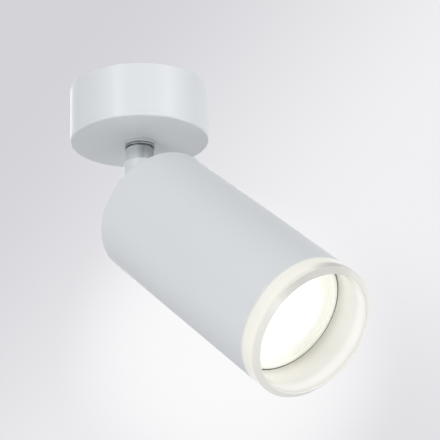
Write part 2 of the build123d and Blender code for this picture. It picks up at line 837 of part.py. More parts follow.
def make_lamp_housing():
    """Lamp shell: pin base, flared and ribbed body, bevelled rim and a recess for board and lens."""
    radius = lamp_diameter / 2
    shell = turned(
        (0, 0), (lamp_neck_diameter / 2, 0), (lamp_neck_diameter / 2, lamp_neck_length),
        (lamp_shoulder_diameter / 2, lamp_neck_length),
        (radius - rib_height, lamp_length - lamp_rim_height),
        (radius, lamp_length - lamp_rim_height), (radius, lamp_length - lamp_bevel),
        (radius - lamp_bevel, lamp_length), (0, lamp_length),
    )
    shell -= rod(lamp_recess_diameter, lamp_length - lamp_recess_depth, lamp_length)
    half = rib_width / 2
    rib_low = lamp_neck_length
    rib_high = lamp_length - lamp_rim_height
    inside = lamp_shoulder_diameter / 2 - rib_height
    fin = Polyline(
        (inside, 0, rib_low), (flare_radius(rib_low), 0, rib_low), (flare_radius(rib_high), 0, rib_high),
        (inside, 0, rib_high), close=True,
    )
    rib = extrude(make_face(fin), half, both=True)
    for number in range(rib_count):
        shell += Rot(0, 0, 360 / rib_count * (number + 0.5)) * rib
    return in_lamp(shell)


def in_lamp(shape):
    """Raise a piece drawn from the lamp's base to its place in the head."""
    return Pos(0, 0, lamp_base) * shape


def make_led_board():
    """Board at the bottom of the lamp's recess with its light sources."""
    low = lamp_length - lamp_recess_depth
    high = low + board_thickness
    board = rod(board_diameter, low, high)
    half = led_size / 2
    for number in range(led_count):
        chip = block((-half, half), (-half, half), (high, high + led_height))
        board += Rot(0, 0, 360 / led_count * number) * Pos(led_circle, 0, 0) * chip
    return in_lamp(board)


def make_lens():
    """Slightly crowned diffuser, set flush in the lamp's face."""
    radius = lamp_recess_diameter / 2 - seat_gap
    crown_radius = (radius ** 2 + lens_crown ** 2) / (2 * lens_crown)
    disc = rod(2 * radius, lamp_length - lens_thickness - lens_crown, lamp_length + lens_crown)
    return in_lamp(disc & Pos(0, 0, lamp_length - crown_radius) * Sphere(crown_radius))


def make_lens_seat():
    """Spacer ring between board and lens."""
    low = lamp_length - lamp_recess_depth + board_thickness
    high = lamp_length - lens_thickness - lens_crown
    outer = lamp_recess_diameter - 2 * seat_gap
    return in_lamp(tube(outer, board_diameter - 4 * led_height, low, high))


def make_lamp_pins():
    """Two headed pins, locked in the holder at rest."""
    tip = -pin_neck_length - pin_head_length
    pin = turned(
        (0, tip), (pin_head_diameter / 2 - 0.6, tip), (pin_head_diameter / 2, tip + 0.6),
        (pin_head_diameter / 2, -pin_neck_length), (pin_neck_diameter / 2, -pin_neck_length),
        (pin_neck_diameter / 2, 0), (0, 0),
    )
    return [in_lamp(Pos(0, side * pin_pitch / 2, 0) * pin) for side in (-1, 1)]


# -------------------------------------------------------------------- assembly
save("ceiling_cup", make_cup())
save("mounting_plate", make_plate())
save("side_screws", *make_side_screws())
save("earth_screw", make_earth_screw())
save("earth_washer", make_earth_washer())
save("terminal_block", make_terminal_block())
save("terminal_sleeves", *make_terminal_sleeves())
save("clamp_screws", *make_clamp_screws())
save("block_screws", *make_block_screws())
save("supply_leads", *make_supply_leads())
save("swivel_bush", make_bush())
save("stop_pin", make_stop_pin())

save("swivel_stem", make_stem())
save("swivel_spacer", make_spacer())
save("stop_washer", make_stop_washer())
save("spring_washer", make_spring_washer())
save("swivel_nut", make_swivel_nut())
save("pivot_screw", make_pivot_screw())
save("pivot_washer", make_pivot_washer())
save("pivot_nut", make_pivot_nut())
save("friction_washers", *make_friction_washers())

save("knuckle", tilted(make_knuckle()))
save("body_tube", tilted(make_body_tube()))
save("rear_cap", tilted(make_rear_cap()))
save("holder_bracket", tilted(make_bracket()))
save("earth_tag", tilted(make_earth_tag()))
save("knuckle_nut", tilted(make_knuckle_nut()))
save("lamp_holder", tilted(make_lamp_holder()))
save("holder_contacts", *[tilted(contact) for contact in make_contacts()])
save("holder_screws", *[tilted(screw) for screw in make_holder_screws()])
save("holder_nuts", *[tilted(nut) for nut in make_holder_nuts()])
save("lamp_leads", *[tilted(wire) for wire in make_lamp_leads()])
save("acrylic_ring", tilted(make_ring()))

save("lamp_housing", tilted(make_lamp_housing()))
save("led_board", tilted(make_led_board()))
save("lens_seat", tilted(make_lens_seat()))
save("lamp_lens", tilted(make_lens()))
save("lamp_pins", *[tilted(pin) for pin in make_lamp_pins()])
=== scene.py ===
"""Looks of a surface mounted ceiling spotlight with a frosted clear ring round its lamp.

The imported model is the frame, so every piece lies in its coordinates, in metres, with the
origin at the centre of the ceiling cup's open face and Z up. Sizes in the classes are in
millimetres. Pieces of the head are drawn along their own Z, which runs forward from the
tilt pivot, and are then laid at the head's tilt, which is read from the joints.
"""
import json
import logging
import math
from collections.abc import Callable, Iterable, Iterator
from contextlib import contextmanager
from dataclasses import dataclass
from enum import Enum

import bmesh
import bpy
from mathutils import Matrix, Vector


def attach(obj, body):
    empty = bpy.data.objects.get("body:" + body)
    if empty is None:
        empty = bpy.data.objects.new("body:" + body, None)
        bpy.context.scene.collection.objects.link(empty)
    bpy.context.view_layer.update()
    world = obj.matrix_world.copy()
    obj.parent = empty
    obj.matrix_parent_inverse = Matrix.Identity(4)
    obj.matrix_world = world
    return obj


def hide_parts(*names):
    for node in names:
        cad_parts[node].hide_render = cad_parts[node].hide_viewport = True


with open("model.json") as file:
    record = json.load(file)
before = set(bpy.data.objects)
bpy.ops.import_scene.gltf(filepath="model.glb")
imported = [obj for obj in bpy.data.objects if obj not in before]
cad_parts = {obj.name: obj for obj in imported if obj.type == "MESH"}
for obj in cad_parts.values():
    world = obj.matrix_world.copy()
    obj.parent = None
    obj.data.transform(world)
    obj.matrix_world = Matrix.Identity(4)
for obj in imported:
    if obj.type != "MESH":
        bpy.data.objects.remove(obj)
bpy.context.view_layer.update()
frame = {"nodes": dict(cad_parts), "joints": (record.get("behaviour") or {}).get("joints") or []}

MM = 0.001               # one millimetre in the frame's metres
CLOSE = 1e-6             # points nearer than this are one point
LATHE_STEPS = 128        # facets round a turned piece
SHARP = 38.0             # edges that turn by more degrees than this get broken
SEAT_GAP = 0.05          # millimetres left round what sits in a hole
NUT_BEVEL = 0.08         # share of a nut's width that its turned-off corners take
NUT_EDGE = 0.12          # millimetres broken off round a nut's hole
CLOUDS = (0.3, 0.7)      # stretch that holds nearly all values of a noise
HALF_SENSOR = 18.0       # half the width of the camera's sensor, in millimetres

Tone = tuple[float, float, float]
Piece = bpy.types.Object
Socket = bpy.types.NodeSocket

log = logging.getLogger("spotlight")


class Body(Enum):
    """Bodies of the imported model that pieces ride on."""

    BASE = "ceiling_base"
    STEM = "swivel_stem_body"
    HEAD = "head"
    LAMP = "lamp"


class Slot(Enum):
    """Slots of the record that the modelled pieces are painted from."""

    PAINT = "white_paint"
    STEEL = "steel"
    NYLON = "white_nylon"
    ACRYLIC = "frosted_acrylic"
    LAMP = "lamp_plastic"
    DIFFUSER = "diffuser"


class Join(Enum):
    """Ways in which one solid works on another."""

    CUT = "DIFFERENCE"
    ADD = "UNION"
    COMMON = "INTERSECT"


@dataclass(frozen=True)
class Corner:
    """Corner of a turned outline, in millimetres, with the radius that softens it."""

    radius: float
    height: float
    softening: float = 0.0

    def place(self) -> Vector:
        """Point of the corner in the outline's plane, in metres."""
        return Vector((self.radius, 0, self.height)) * MM


# ------------------------------------------------------------------ frame of the model
def joint(name: str) -> dict:
    """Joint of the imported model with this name."""
    return next(entry for entry in frame["joints"] if entry["name"] == name)


def upright_frame() -> Matrix:
    """Frame of the pieces that stand on the swivel axis."""
    return Matrix.Identity(4)


def head_frame() -> Matrix:
    """Frame of the head at rest: origin at the tilt pivot, Z forward along the tube."""
    forward = Vector(joint("lamp_turn")["axis"]).normalized()
    side = Vector((0, 1, 0))
    turn = Matrix((side.cross(forward), side, forward)).transposed()
    return Matrix.Translation(joint("tilt")["pos_m"]) @ turn.to_4x4()


def pivot_frame() -> Matrix:
    """Frame of the pieces on the tilt pivot: Z along the pivot, towards its screw's head."""
    return Matrix.Translation(joint("tilt")["pos_m"]) @ Matrix.Rotation(math.pi / 2, 4, "X")


def measure(node: str, place: Matrix) -> tuple[Vector, Vector]:
    """Extent of a CAD node in a frame of its own.

    Args:
        node: name of the CAD node.
        place: frame in which it is measured.

    Returns:
        Its lowest and highest corners in that frame, in millimetres.
    """
    back = place.inverted()
    points = [back @ vertex.co / MM for vertex in frame["nodes"][node].data.vertices]
    low = Vector([min(point[axis] for point in points) for axis in range(3)])
    high = Vector([max(point[axis] for point in points) for axis in range(3)])
    return low, high


# ------------------------------------------------------------------------------- bench
def pick(*pieces: Piece) -> None:
    """Select these pieces and nothing else, the first of them active."""
    bpy.ops.object.select_all(action="DESELECT")
    for piece in pieces:
        piece.select_set(True)
    if pieces:
        bpy.context.view_layer.objects.active = pieces[0]


@contextmanager
def editing(piece: Piece) -> Iterator[None]:
    """Edit mode on one piece, with all of its mesh selected at the start."""
    pick(piece)
    bpy.ops.object.mode_set(mode="EDIT")
    bpy.ops.mesh.select_mode(type="VERT")
    bpy.ops.mesh.select_all(action="SELECT")
    yield
    bpy.ops.object.mode_set(mode="OBJECT")


def choose(piece: Piece, test: Callable[[Vector], bool]) -> None:
    """Select, in edit mode, only the vertices whose place passes a test.

    Args:
        piece: piece that is being edited.
        test: says of a vertex's place, in metres, whether it is wanted.
    """
    mesh = bmesh.from_edit_mesh(piece.data)
    for face in mesh.faces:
        face.select_set(False)
    for edge in mesh.edges:
        edge.select_set(False)
    for vertex in mesh.verts:
        vertex.select_set(test(vertex.co))
    mesh.select_flush_mode()
    bmesh.update_edit_mesh(piece.data)


def choose_all() -> None:
    """Select the whole mesh in edit mode."""
    bpy.ops.mesh.select_all(action="SELECT")


def close_up() -> None:
    """Merge doubled points in edit mode and turn all faces outwards."""
    choose_all()
    bpy.ops.mesh.remove_doubles(threshold=CLOSE)
    bpy.ops.mesh.normals_make_consistent(inside=False)


def named(name: str) -> Piece:
    """Give the primitive that was just added its name, and return it."""
    piece = bpy.context.object
    piece.name = name
    piece.data.name = name
    return piece


def run_modifier(piece: Piece, kind: str, **settings: object) -> None:
    """Add a modifier to a piece, set it and apply it.

    Args:
        piece: piece to work on.
        kind: Blender's name for the modifier.
        settings: values of the modifier's own properties.
    """
    modifier = piece.modifiers.new(kind.lower(), kind)
    for name, value in settings.items():
        setattr(modifier, name, value)
    pick(piece)
    bpy.ops.object.modifier_apply(modifier=modifier.name)


def turned(name: str, corners: list[Corner], closed: bool = True, steps: int = LATHE_STEPS,
           softening_steps: int = 5) -> Piece:
    """Turn an outline about Z, as on a lathe.

    Args:
        name: name of the piece.
        corners: the outline's corners in order.
        closed: whether the last corner joins the first; an outline that starts and ends on
            the axis stays open.
        steps: facets round the piece.
        softening_steps: facets across each softened corner.

    Returns:
        The piece, upright on the origin.
    """
    pick()
    bpy.ops.mesh.primitive_plane_add(size=MM)
    piece = named(name)
    with editing(piece):
        bpy.ops.mesh.merge(type="CENTER")
        bpy.ops.transform.translate(value=corners[0].place())
        for last, corner in zip(corners, corners[1:]):
            step = corner.place() - last.place()
            bpy.ops.mesh.extrude_region_move(TRANSFORM_OT_translate={"value": step})
        if closed:
            ends = (corners[0].place(), corners[-1].place())
            choose(piece, lambda spot: any((spot - end).length < CLOSE for end in ends))
            bpy.ops.mesh.edge_face_add()
        for corner in corners:
            if corner.softening:
                choose(piece, lambda spot, at=corner.place(): (spot - at).length < CLOSE)
                bpy.ops.mesh.bevel(offset=corner.softening * MM, segments=softening_steps,
                                   affect="VERTICES", clamp_overlap=True)
        choose_all()
        bpy.ops.mesh.spin(steps=steps, angle=math.tau, center=(0, 0, 0), axis=(0, 0, 1),
                          use_auto_merge=False)
        close_up()
    return piece


def rod(diameter: float, low: float, high: float, sides: int = 64) -> Piece:
    """Upright rod to work with, between two heights in millimetres."""
    pick()
    bpy.ops.mesh.primitive_cylinder_add(vertices=sides, radius=diameter / 2 * MM,
                                        depth=(high - low) * MM,
                                        location=(0, 0, (low + high) / 2 * MM))
    tool = named("tool")
    bpy.ops.object.transform_apply()
    return tool


def hex_bar(across_flats: float, low: float, high: float) -> Piece:
    """Upright six-sided bar to work with, between two heights in millimetres."""
    return rod(across_flats * 2 / math.sqrt(3), low, high, sides=6)


def block(low: tuple[float, float, float], high: tuple[float, float, float]) -> Piece:
    """Block to work with, between two corners in millimetres."""
    pick()
    middle = (Vector(low) + Vector(high)) / 2 * MM
    size = (Vector(high) - Vector(low)) * MM
    bpy.ops.mesh.primitive_cube_add(size=1, location=middle, scale=size)
    tool = named("tool")
    bpy.ops.object.transform_apply()
    return tool


def stretched(tool: Piece, length: float) -> Piece:
    """Pull the halves of a tool apart along X by a length, which turns a rod into a slot."""
    for way in (-1, 1):
        with editing(tool):
            choose(tool, lambda spot: spot.x * way > CLOSE)
            bpy.ops.transform.translate(value=(way * length / 2 * MM, 0, 0))
    return tool


def laid(piece: Piece, place: Matrix) -> Piece:
    """Carry a piece into a frame and work its place into its mesh."""
    piece.matrix_world = place @ piece.matrix_world
    pick(piece)
    bpy.ops.object.transform_apply(location=True, rotation=True, scale=True)
    return piece


def moved(piece: Piece, x: float = 0, y: float = 0, z: float = 0) -> Piece:
    """Shift a piece by millimetres."""
    return laid(piece, Matrix.Translation(Vector((x, y, z)) * MM))


def rolled(piece: Piece, degrees: float, axis: str = "Z") -> Piece:
    """Turn a piece about an axis through the origin."""
    return laid(piece, Matrix.Rotation(math.radians(degrees), 4, axis))


def cross_rod(diameter: float, half: float, level: float = 0, sides: int = 96) -> Piece:
    """Rod along Y to work with, by its half length and the height of its axis."""
    return moved(rolled(rod(diameter, -half, half, sides), 90, "X"), z=level)


def repeated(first: Piece, angles: Iterable[float]) -> list[Piece]:
    """Copies of a piece turned about Z, each with a mesh of its own.

    Args:
        first: the piece, which is used up.
        angles: angle of each copy, in degrees.

    Returns:
        The copies.
    """
    copies = []
    for angle in angles:
        pick(first)
        bpy.ops.object.duplicate(linked=False)
        copies.append(rolled(bpy.context.object, angle))
    bpy.data.objects.remove(first)
    return copies


def work(piece: Piece, way: Join, *tools: Piece) -> Piece:
    """Cut tools out of a piece, add them to it or keep what they have in common.

    Args:
        piece: piece to work on.
        way: what the tools do to it.
        tools: tools, which are used up.

    Returns:
        The same piece.
    """
    for tool in tools:
        run_modifier(piece, "BOOLEAN", operation=way.value, solver="EXACT", object=tool)
        bpy.data.objects.remove(tool)
    return piece


def softened(piece: Piece, width: float) -> Piece:
    """Break the sharp edges of a piece by a width in millimetres."""
    run_modifier(piece, "BEVEL", width=width * MM, segments=2, limit_method="ANGLE",
                 angle_limit=math.radians(SHARP), use_clamp_overlap=True)
    with editing(piece):
        close_up()
    return piece


def smoothed(piece: Piece, angle: float = 34) -> Piece:
    """Shade a piece smooth, with flat faces kept flat beside rounded edges."""
    pick(piece)
    bpy.ops.object.shade_smooth_by_angle(angle=math.radians(angle))
    run_modifier(piece, "WEIGHTED_NORMAL", keep_sharp=True, weight=80)
    return piece


# ---------------------------------------------------------------------------- finishes
def linear(tone: Tone, share: float = 1.0) -> tuple[float, float, float, float]:
    """Colour of a shader socket from a tone as it is seen on a screen.

    Args:
        tone: red, green and blue from 0 to 1, as shown.
        share: how much of the tone's light is kept.

    Returns:
        Linear red, green, blue and an alpha of 1.
    """
    return tuple(share * (part / 12.92 if part <= 0.04045 else ((part + 0.055) / 1.055) ** 2.4)
                 for part in tone) + (1.0,)


@dataclass(frozen=True)
class Stop:
    """Tone of a glow at a distance in millimetres."""

    at: float
    tone: Tone


class Graph:
    """Tree of nodes, with the steps that the finishes and the world are made of."""

    def __init__(self, tree: bpy.types.NodeTree) -> None:
        """Start with the tree emptied."""
        self.tree = tree
        self.tree.nodes.clear()

    def add(self, kind: str, **settings: object) -> bpy.types.Node:
        """Add a node and set its properties."""
        node = self.tree.nodes.new(kind)
        for name, value in settings.items():
            setattr(node, name, value)
        return node

    def link(self, source: Socket, target: Socket) -> None:
        """Join two sockets."""
        self.tree.links.new(source, target)

    def feed(self, targets: Iterable[Socket], sources: Iterable[object]) -> None:
        """Give each socket its source, which is another socket or a fixed value."""
        for target, source in zip(targets, sources):
            if isinstance(source, Socket):
                self.link(source, target)
            else:
                target.default_value = source

    def calculate(self, operation: str, *sources: object) -> Socket:
        """Work out a value from sockets and numbers."""
        node = self.add("ShaderNodeMath", operation=operation)
        self.feed(node.inputs, sources)
        return node.outputs["Value"]

    def vector(self, operation: str, *sources: object) -> bpy.types.Node:
        """Work on vectors that come from sockets or are fixed."""
        node = self.add("ShaderNodeVectorMath", operation=operation)
        self.feed(node.inputs, sources)
        return node

    def spread(self, source: Socket, start: float, end: float, low: float = 0, high: float = 1,
               **settings: object) -> Socket:
        """Carry the stretch from start to end of a value over to low and high."""
        node = self.add("ShaderNodeMapRange", **settings)
        self.feed(node.inputs[:5], (source, start, end, low, high))
        return node.outputs["Result"]

    def blend(self, share: Socket, first: object, second: object) -> Socket:
        """Mix two colours or colour sockets by a share."""
        node = self.add("ShaderNodeMix", data_type="RGBA")
        self.feed((node.inputs[0], node.inputs[6], node.inputs[7]), (share, first, second))
        return node.outputs[2]


class Recipe(Graph):
    """Nodes of one material round its shader."""

    def __init__(self, name: str) -> None:
        """Start the material with a shader, an output and the piece's own coordinates."""
        self.material = bpy.data.materials.new(name)
        self.material.use_nodes = True
        super().__init__(self.material.node_tree)
        self.shader = self.add("ShaderNodeBsdfPrincipled")
        output = self.add("ShaderNodeOutputMaterial")
        self.link(self.shader.outputs["BSDF"], output.inputs["Surface"])
        self.place = self.add("ShaderNodeTexCoord").outputs["Object"]

    def fix(self, values: dict[str, object]) -> None:
        """Set sockets of the shader that are the same all over."""
        for name, value in values.items():
            self.shader.inputs[name].default_value = value

    def drive(self, name: str, source: Socket) -> None:
        """Let a socket of the shader follow a pattern."""
        self.link(source, self.shader.inputs[name])

    def framed(self, place: Matrix) -> Socket:
        """Coordinates in a frame of the piece, centred and turned by a mapping."""
        node = self.add("ShaderNodeMapping", vector_type="TEXTURE")
        node.inputs["Location"].default_value = place.translation
        node.inputs["Rotation"].default_value = place.to_euler()
        self.link(self.place, node.inputs["Vector"])
        return node.outputs["Vector"]

    def noise(self, scale: float, detail: float = 3) -> Socket:
        """Cloudy pattern with about this many clouds to the metre."""
        node = self.add("ShaderNodeTexNoise")
        node.inputs["Scale"].default_value = scale
        node.inputs["Detail"].default_value = detail
        self.link(self.place, node.inputs["Vector"])
        return node.outputs["Fac"]

    def cloud(self, scale: float, detail: float = 3) -> Socket:
        """Cloudy pattern that runs all the way from 0 to 1."""
        return self.spread(self.noise(scale, detail), *CLOUDS)

    def tint(self, share: Socket, tone: Tone, least: float) -> None:
        """Colour that runs, by a share, from part of a tone's light to all of it."""
        self.drive("Base Color", self.blend(share, linear(tone, least), linear(tone)))

    def roughen(self, pattern: Socket, middle: float, swing: float) -> None:
        """Roughness that follows a noise, up to a swing either side of its middle."""
        self.drive("Roughness", self.spread(pattern, *CLOUDS, middle - swing, middle + swing))

    def ramp(self, source: Socket, stops: list[tuple[float, tuple]]) -> Socket:
        """Colours along a value from 0 to 1.

        Args:
            source: the value.
            stops: share and colour of each stop, in order.

        Returns:
            The colour socket.
        """
        node = self.add("ShaderNodeValToRGB")
        elements = node.color_ramp.elements
        while len(elements) < len(stops):
            elements.new(1.0)
        for element, (share, colour) in zip(elements, stops):
            element.position = share
            element.color = colour
        self.link(source, node.inputs["Fac"])
        return node.outputs["Color"]

    def graded(self, distance: Socket, stops: list[Stop]) -> Socket:
        """Light along a distance.

        Args:
            distance: the distance, in metres.
            stops: stops in order of their distance.

        Returns:
            The colour socket.
        """
        first, last = stops[0].at, stops[-1].at
        share = self.spread(distance, first * MM, last * MM)
        return self.ramp(share, [((stop.at - first) / (last - first), linear(stop.tone))
                                 for stop in stops])

    def bump(self, height: Socket, strength: float, depth: float) -> None:
        """Raise the surface by a pattern, up to a depth in millimetres."""
        node = self.add("ShaderNodeBump")
        node.inputs["Strength"].default_value = strength
        node.inputs["Distance"].default_value = depth * MM
        self.link(height, node.inputs["Height"])
        self.drive("Normal", node.outputs["Normal"])

    def round_place(self, place: Matrix) -> tuple[Socket, Socket]:
        """Distance from the Z axis of a frame and height along it, both in metres."""
        own = self.framed(place)
        flat = self.vector("MULTIPLY", own, (1, 1, 0)).outputs["Vector"]
        across = self.vector("LENGTH", flat)
        parts = self.add("ShaderNodeSeparateXYZ")
        self.link(own, parts.inputs["Vector"])
        return across.outputs["Value"], parts.outputs["Z"]

    def side(self, place: Matrix, angle: float, radius: Socket, *run: float) -> Socket:
        """Value that rises towards one side of a frame's Z axis.

        Args:
            place: the frame.
            angle: angle of that side round the axis, in degrees.
            radius: distance of the spot from the axis.
            run: cosines, of the angle to that side, where the rise starts and ends, and the
                values there if they aren't 0 and 1.

        Returns:
            The value.
        """
        turn = math.radians(angle)
        towards = (math.cos(turn), math.sin(turn), 0)
        dot = self.vector("DOT_PRODUCT", self.framed(place), towards).outputs["Value"]
        return self.spread(self.calculate("DIVIDE", dot, radius), *run)


@dataclass(frozen=True)
class Finish:
    """A finish with its name and its tone as seen on a screen."""

    name: str
    tone: Tone

    def material(self) -> bpy.types.Material:
        """Material of this finish, made the first time that it is asked for."""
        known = bpy.data.materials.get(self.name)
        if known:
            return known
        recipe = Recipe(self.name)
        self.mix(recipe)
        return recipe.material

    def mix(self, recipe: Recipe) -> None:
        """Fill in the nodes; each finish has its own way."""
        raise NotImplementedError


@dataclass(frozen=True)
class PowderCoat(Finish):
    """Matt powder coat: a fine orange-peel grain and a faint drift of tone."""

    roughness: float = 0.38
    gloss: float = 0.36
    grain: float = 1500.0
    grain_depth: float = 0.02
    drift: float = 30.0
    drift_share: float = 0.975
    speck_ratio: float = 2.3
    speck_share: float = 0.99
    swing: float = 0.06

    def mix(self, recipe: Recipe) -> None:
        """Grain in the bump and the roughness, drift in the colour."""
        recipe.fix({"Specular IOR Level": self.gloss})
        drift = recipe.cloud(self.drift)
        grain = recipe.noise(self.grain, detail=2)
        tone = recipe.blend(drift, linear(self.tone, self.drift_share), linear(self.tone))
        speck = recipe.cloud(self.grain * self.speck_ratio, detail=1)
        recipe.drive("Base Color", recipe.blend(speck, tone, linear(self.tone, self.speck_share)))
        recipe.roughen(grain, self.roughness, self.swing)
        recipe.bump(grain, 0.35, self.grain_depth)


@dataclass(frozen=True)
class BareMetal(Finish):
    """Plated or bright metal with faint tool marks round its axis and a drift of tone."""

    roughness: float = 0.32
    marks: float = 2200.0
    mark_depth: float = 0.006
    cloud_scale: float = 260.0
    dull_share: float = 0.86

    def mix(self, recipe: Recipe) -> None:
        """Metallic shader, roughness in clouds and marks in the bump."""
        recipe.fix({"Metallic": 1.0})
        clouds = recipe.cloud(self.cloud_scale, detail=4)
        recipe.tint(clouds, self.tone, self.dull_share)
        rough = recipe.spread(clouds, 0, 1, self.roughness - 0.07, self.roughness + 0.08)
        recipe.drive("Roughness", rough)
        recipe.bump(recipe.noise(self.marks, detail=2), 0.25, self.mark_depth)


@dataclass(frozen=True)
class PartPainted(PowderCoat):
    """Powder coat masked off above a height, with painted shade on the neck above it: a greyer coat that
    turns into darker metal towards one side.
    """

    bare_above: float = -34.0
    mask_blur: float = 0.8
    # Neck tones, both painted shade: a greyer coat under the cup, and a darker metal on the side that the
    # head shades.
    neck_shade_tone: Tone = (0.80, 0.82, 0.825)
    metal: Tone = (0.68, 0.70, 0.71)
    shade_side_angle: float = 43.0
    shade_side_run: tuple[float, float] = (-0.2, 0.25)
    metal_roughness: float = 0.62

    def mix(self, recipe: Recipe) -> None:
        """Powder coat, with painted shade above the mask's edge: a greyer coat that turns into darker
        metal towards one side.
        """
        super().mix(recipe)
        radius, height = recipe.round_place(upright_frame())
        bare = recipe.spread(height, self.bare_above * MM, (self.bare_above + self.mask_blur) * MM)
        # Painted shade: darker metal towards one side of the neck.
        shaded_side = recipe.side(upright_frame(), self.shade_side_angle, radius, *self.shade_side_run)
        recipe.drive("Metallic", recipe.calculate("MULTIPLY", bare, shaded_side))
        metal = recipe.blend(shaded_side, linear(self.neck_shade_tone), linear(self.metal))
        rough = (self.metal_roughness,) * 3 + (1,)
        for name, value in {"Base Color": metal, "Roughness": rough}.items():
            painted = recipe.shader.inputs[name].links[0].from_socket
            recipe.drive(name, recipe.blend(bare, painted, value))


@dataclass(frozen=True)
class MouldedPlastic(Finish):
    """Moulded plastic with a spark-eroded grain."""

    roughness: float = 0.42
    grain: float = 2600.0
    grain_depth: float = 0.008

    def mix(self, recipe: Recipe) -> None:
        """Fine grain and a slight drift of tone."""
        recipe.tint(recipe.cloud(90), self.tone, 0.95)
        grain = recipe.noise(self.grain, detail=2)
        recipe.roughen(grain, self.roughness, 0.05)
        recipe.bump(grain, 0.3, self.grain_depth)


@dataclass(frozen=True)
class Steatite(Finish):
    """Unglazed ceramic: chalky, with pores and a few dark specks."""

    roughness: float = 0.7

    def mix(self, recipe: Recipe) -> None:
        """Specks in the colour and pores in the bump."""
        specks = recipe.spread(recipe.noise(1900, detail=4), 0.62, 0.72)
        body = recipe.blend(recipe.cloud(120), linear(self.tone, 0.93), linear(self.tone))
        recipe.drive("Base Color", recipe.blend(specks, body, linear(self.tone, 0.7)))
        pores = recipe.noise(1400, detail=5)
        recipe.roughen(pores, self.roughness, 0.08)
        recipe.bump(pores, 0.5, 0.03)


@dataclass(frozen=True)
class GlassFibreSleeving(Finish):
    """Braided glass-fibre sleeving with its criss-cross of yarns."""

    yarns: float = 900.0

    def mix(self, recipe: Recipe) -> None:
        """Two waves that cross, in the colour and the bump."""
        heights = []
        for way in (1, -1):
            place = recipe.framed(Matrix.Rotation(math.radians(45 * way), 4, "X"))
            wave = recipe.add("ShaderNodeTexWave", bands_direction="Z")
            wave.inputs["Scale"].default_value = self.yarns
            wave.inputs["Distortion"].default_value = 1.2
            recipe.link(place, wave.inputs["Vector"])
            heights.append(wave.outputs["Fac"])
        braid = recipe.calculate("MAXIMUM", *heights)
        recipe.tint(braid, self.tone, 0.62)
        recipe.drive("Roughness", recipe.spread(braid, 0, 1, 0.7, 0.5))
        recipe.bump(braid, 0.5, 0.05)


@dataclass(frozen=True)
class SolderMask(Finish):
    """White solder mask of a light board, slightly glossy over its copper."""

    def mix(self, recipe: Recipe) -> None:
        """Faint tracks under the mask."""
        tracks = recipe.spread(recipe.noise(160, detail=0), 0.49, 0.51)
        recipe.tint(tracks, self.tone, 0.93)
        recipe.drive("Roughness", recipe.spread(tracks, 0, 1, 0.36, 0.3))
        recipe.bump(tracks, 0.3, 0.02)


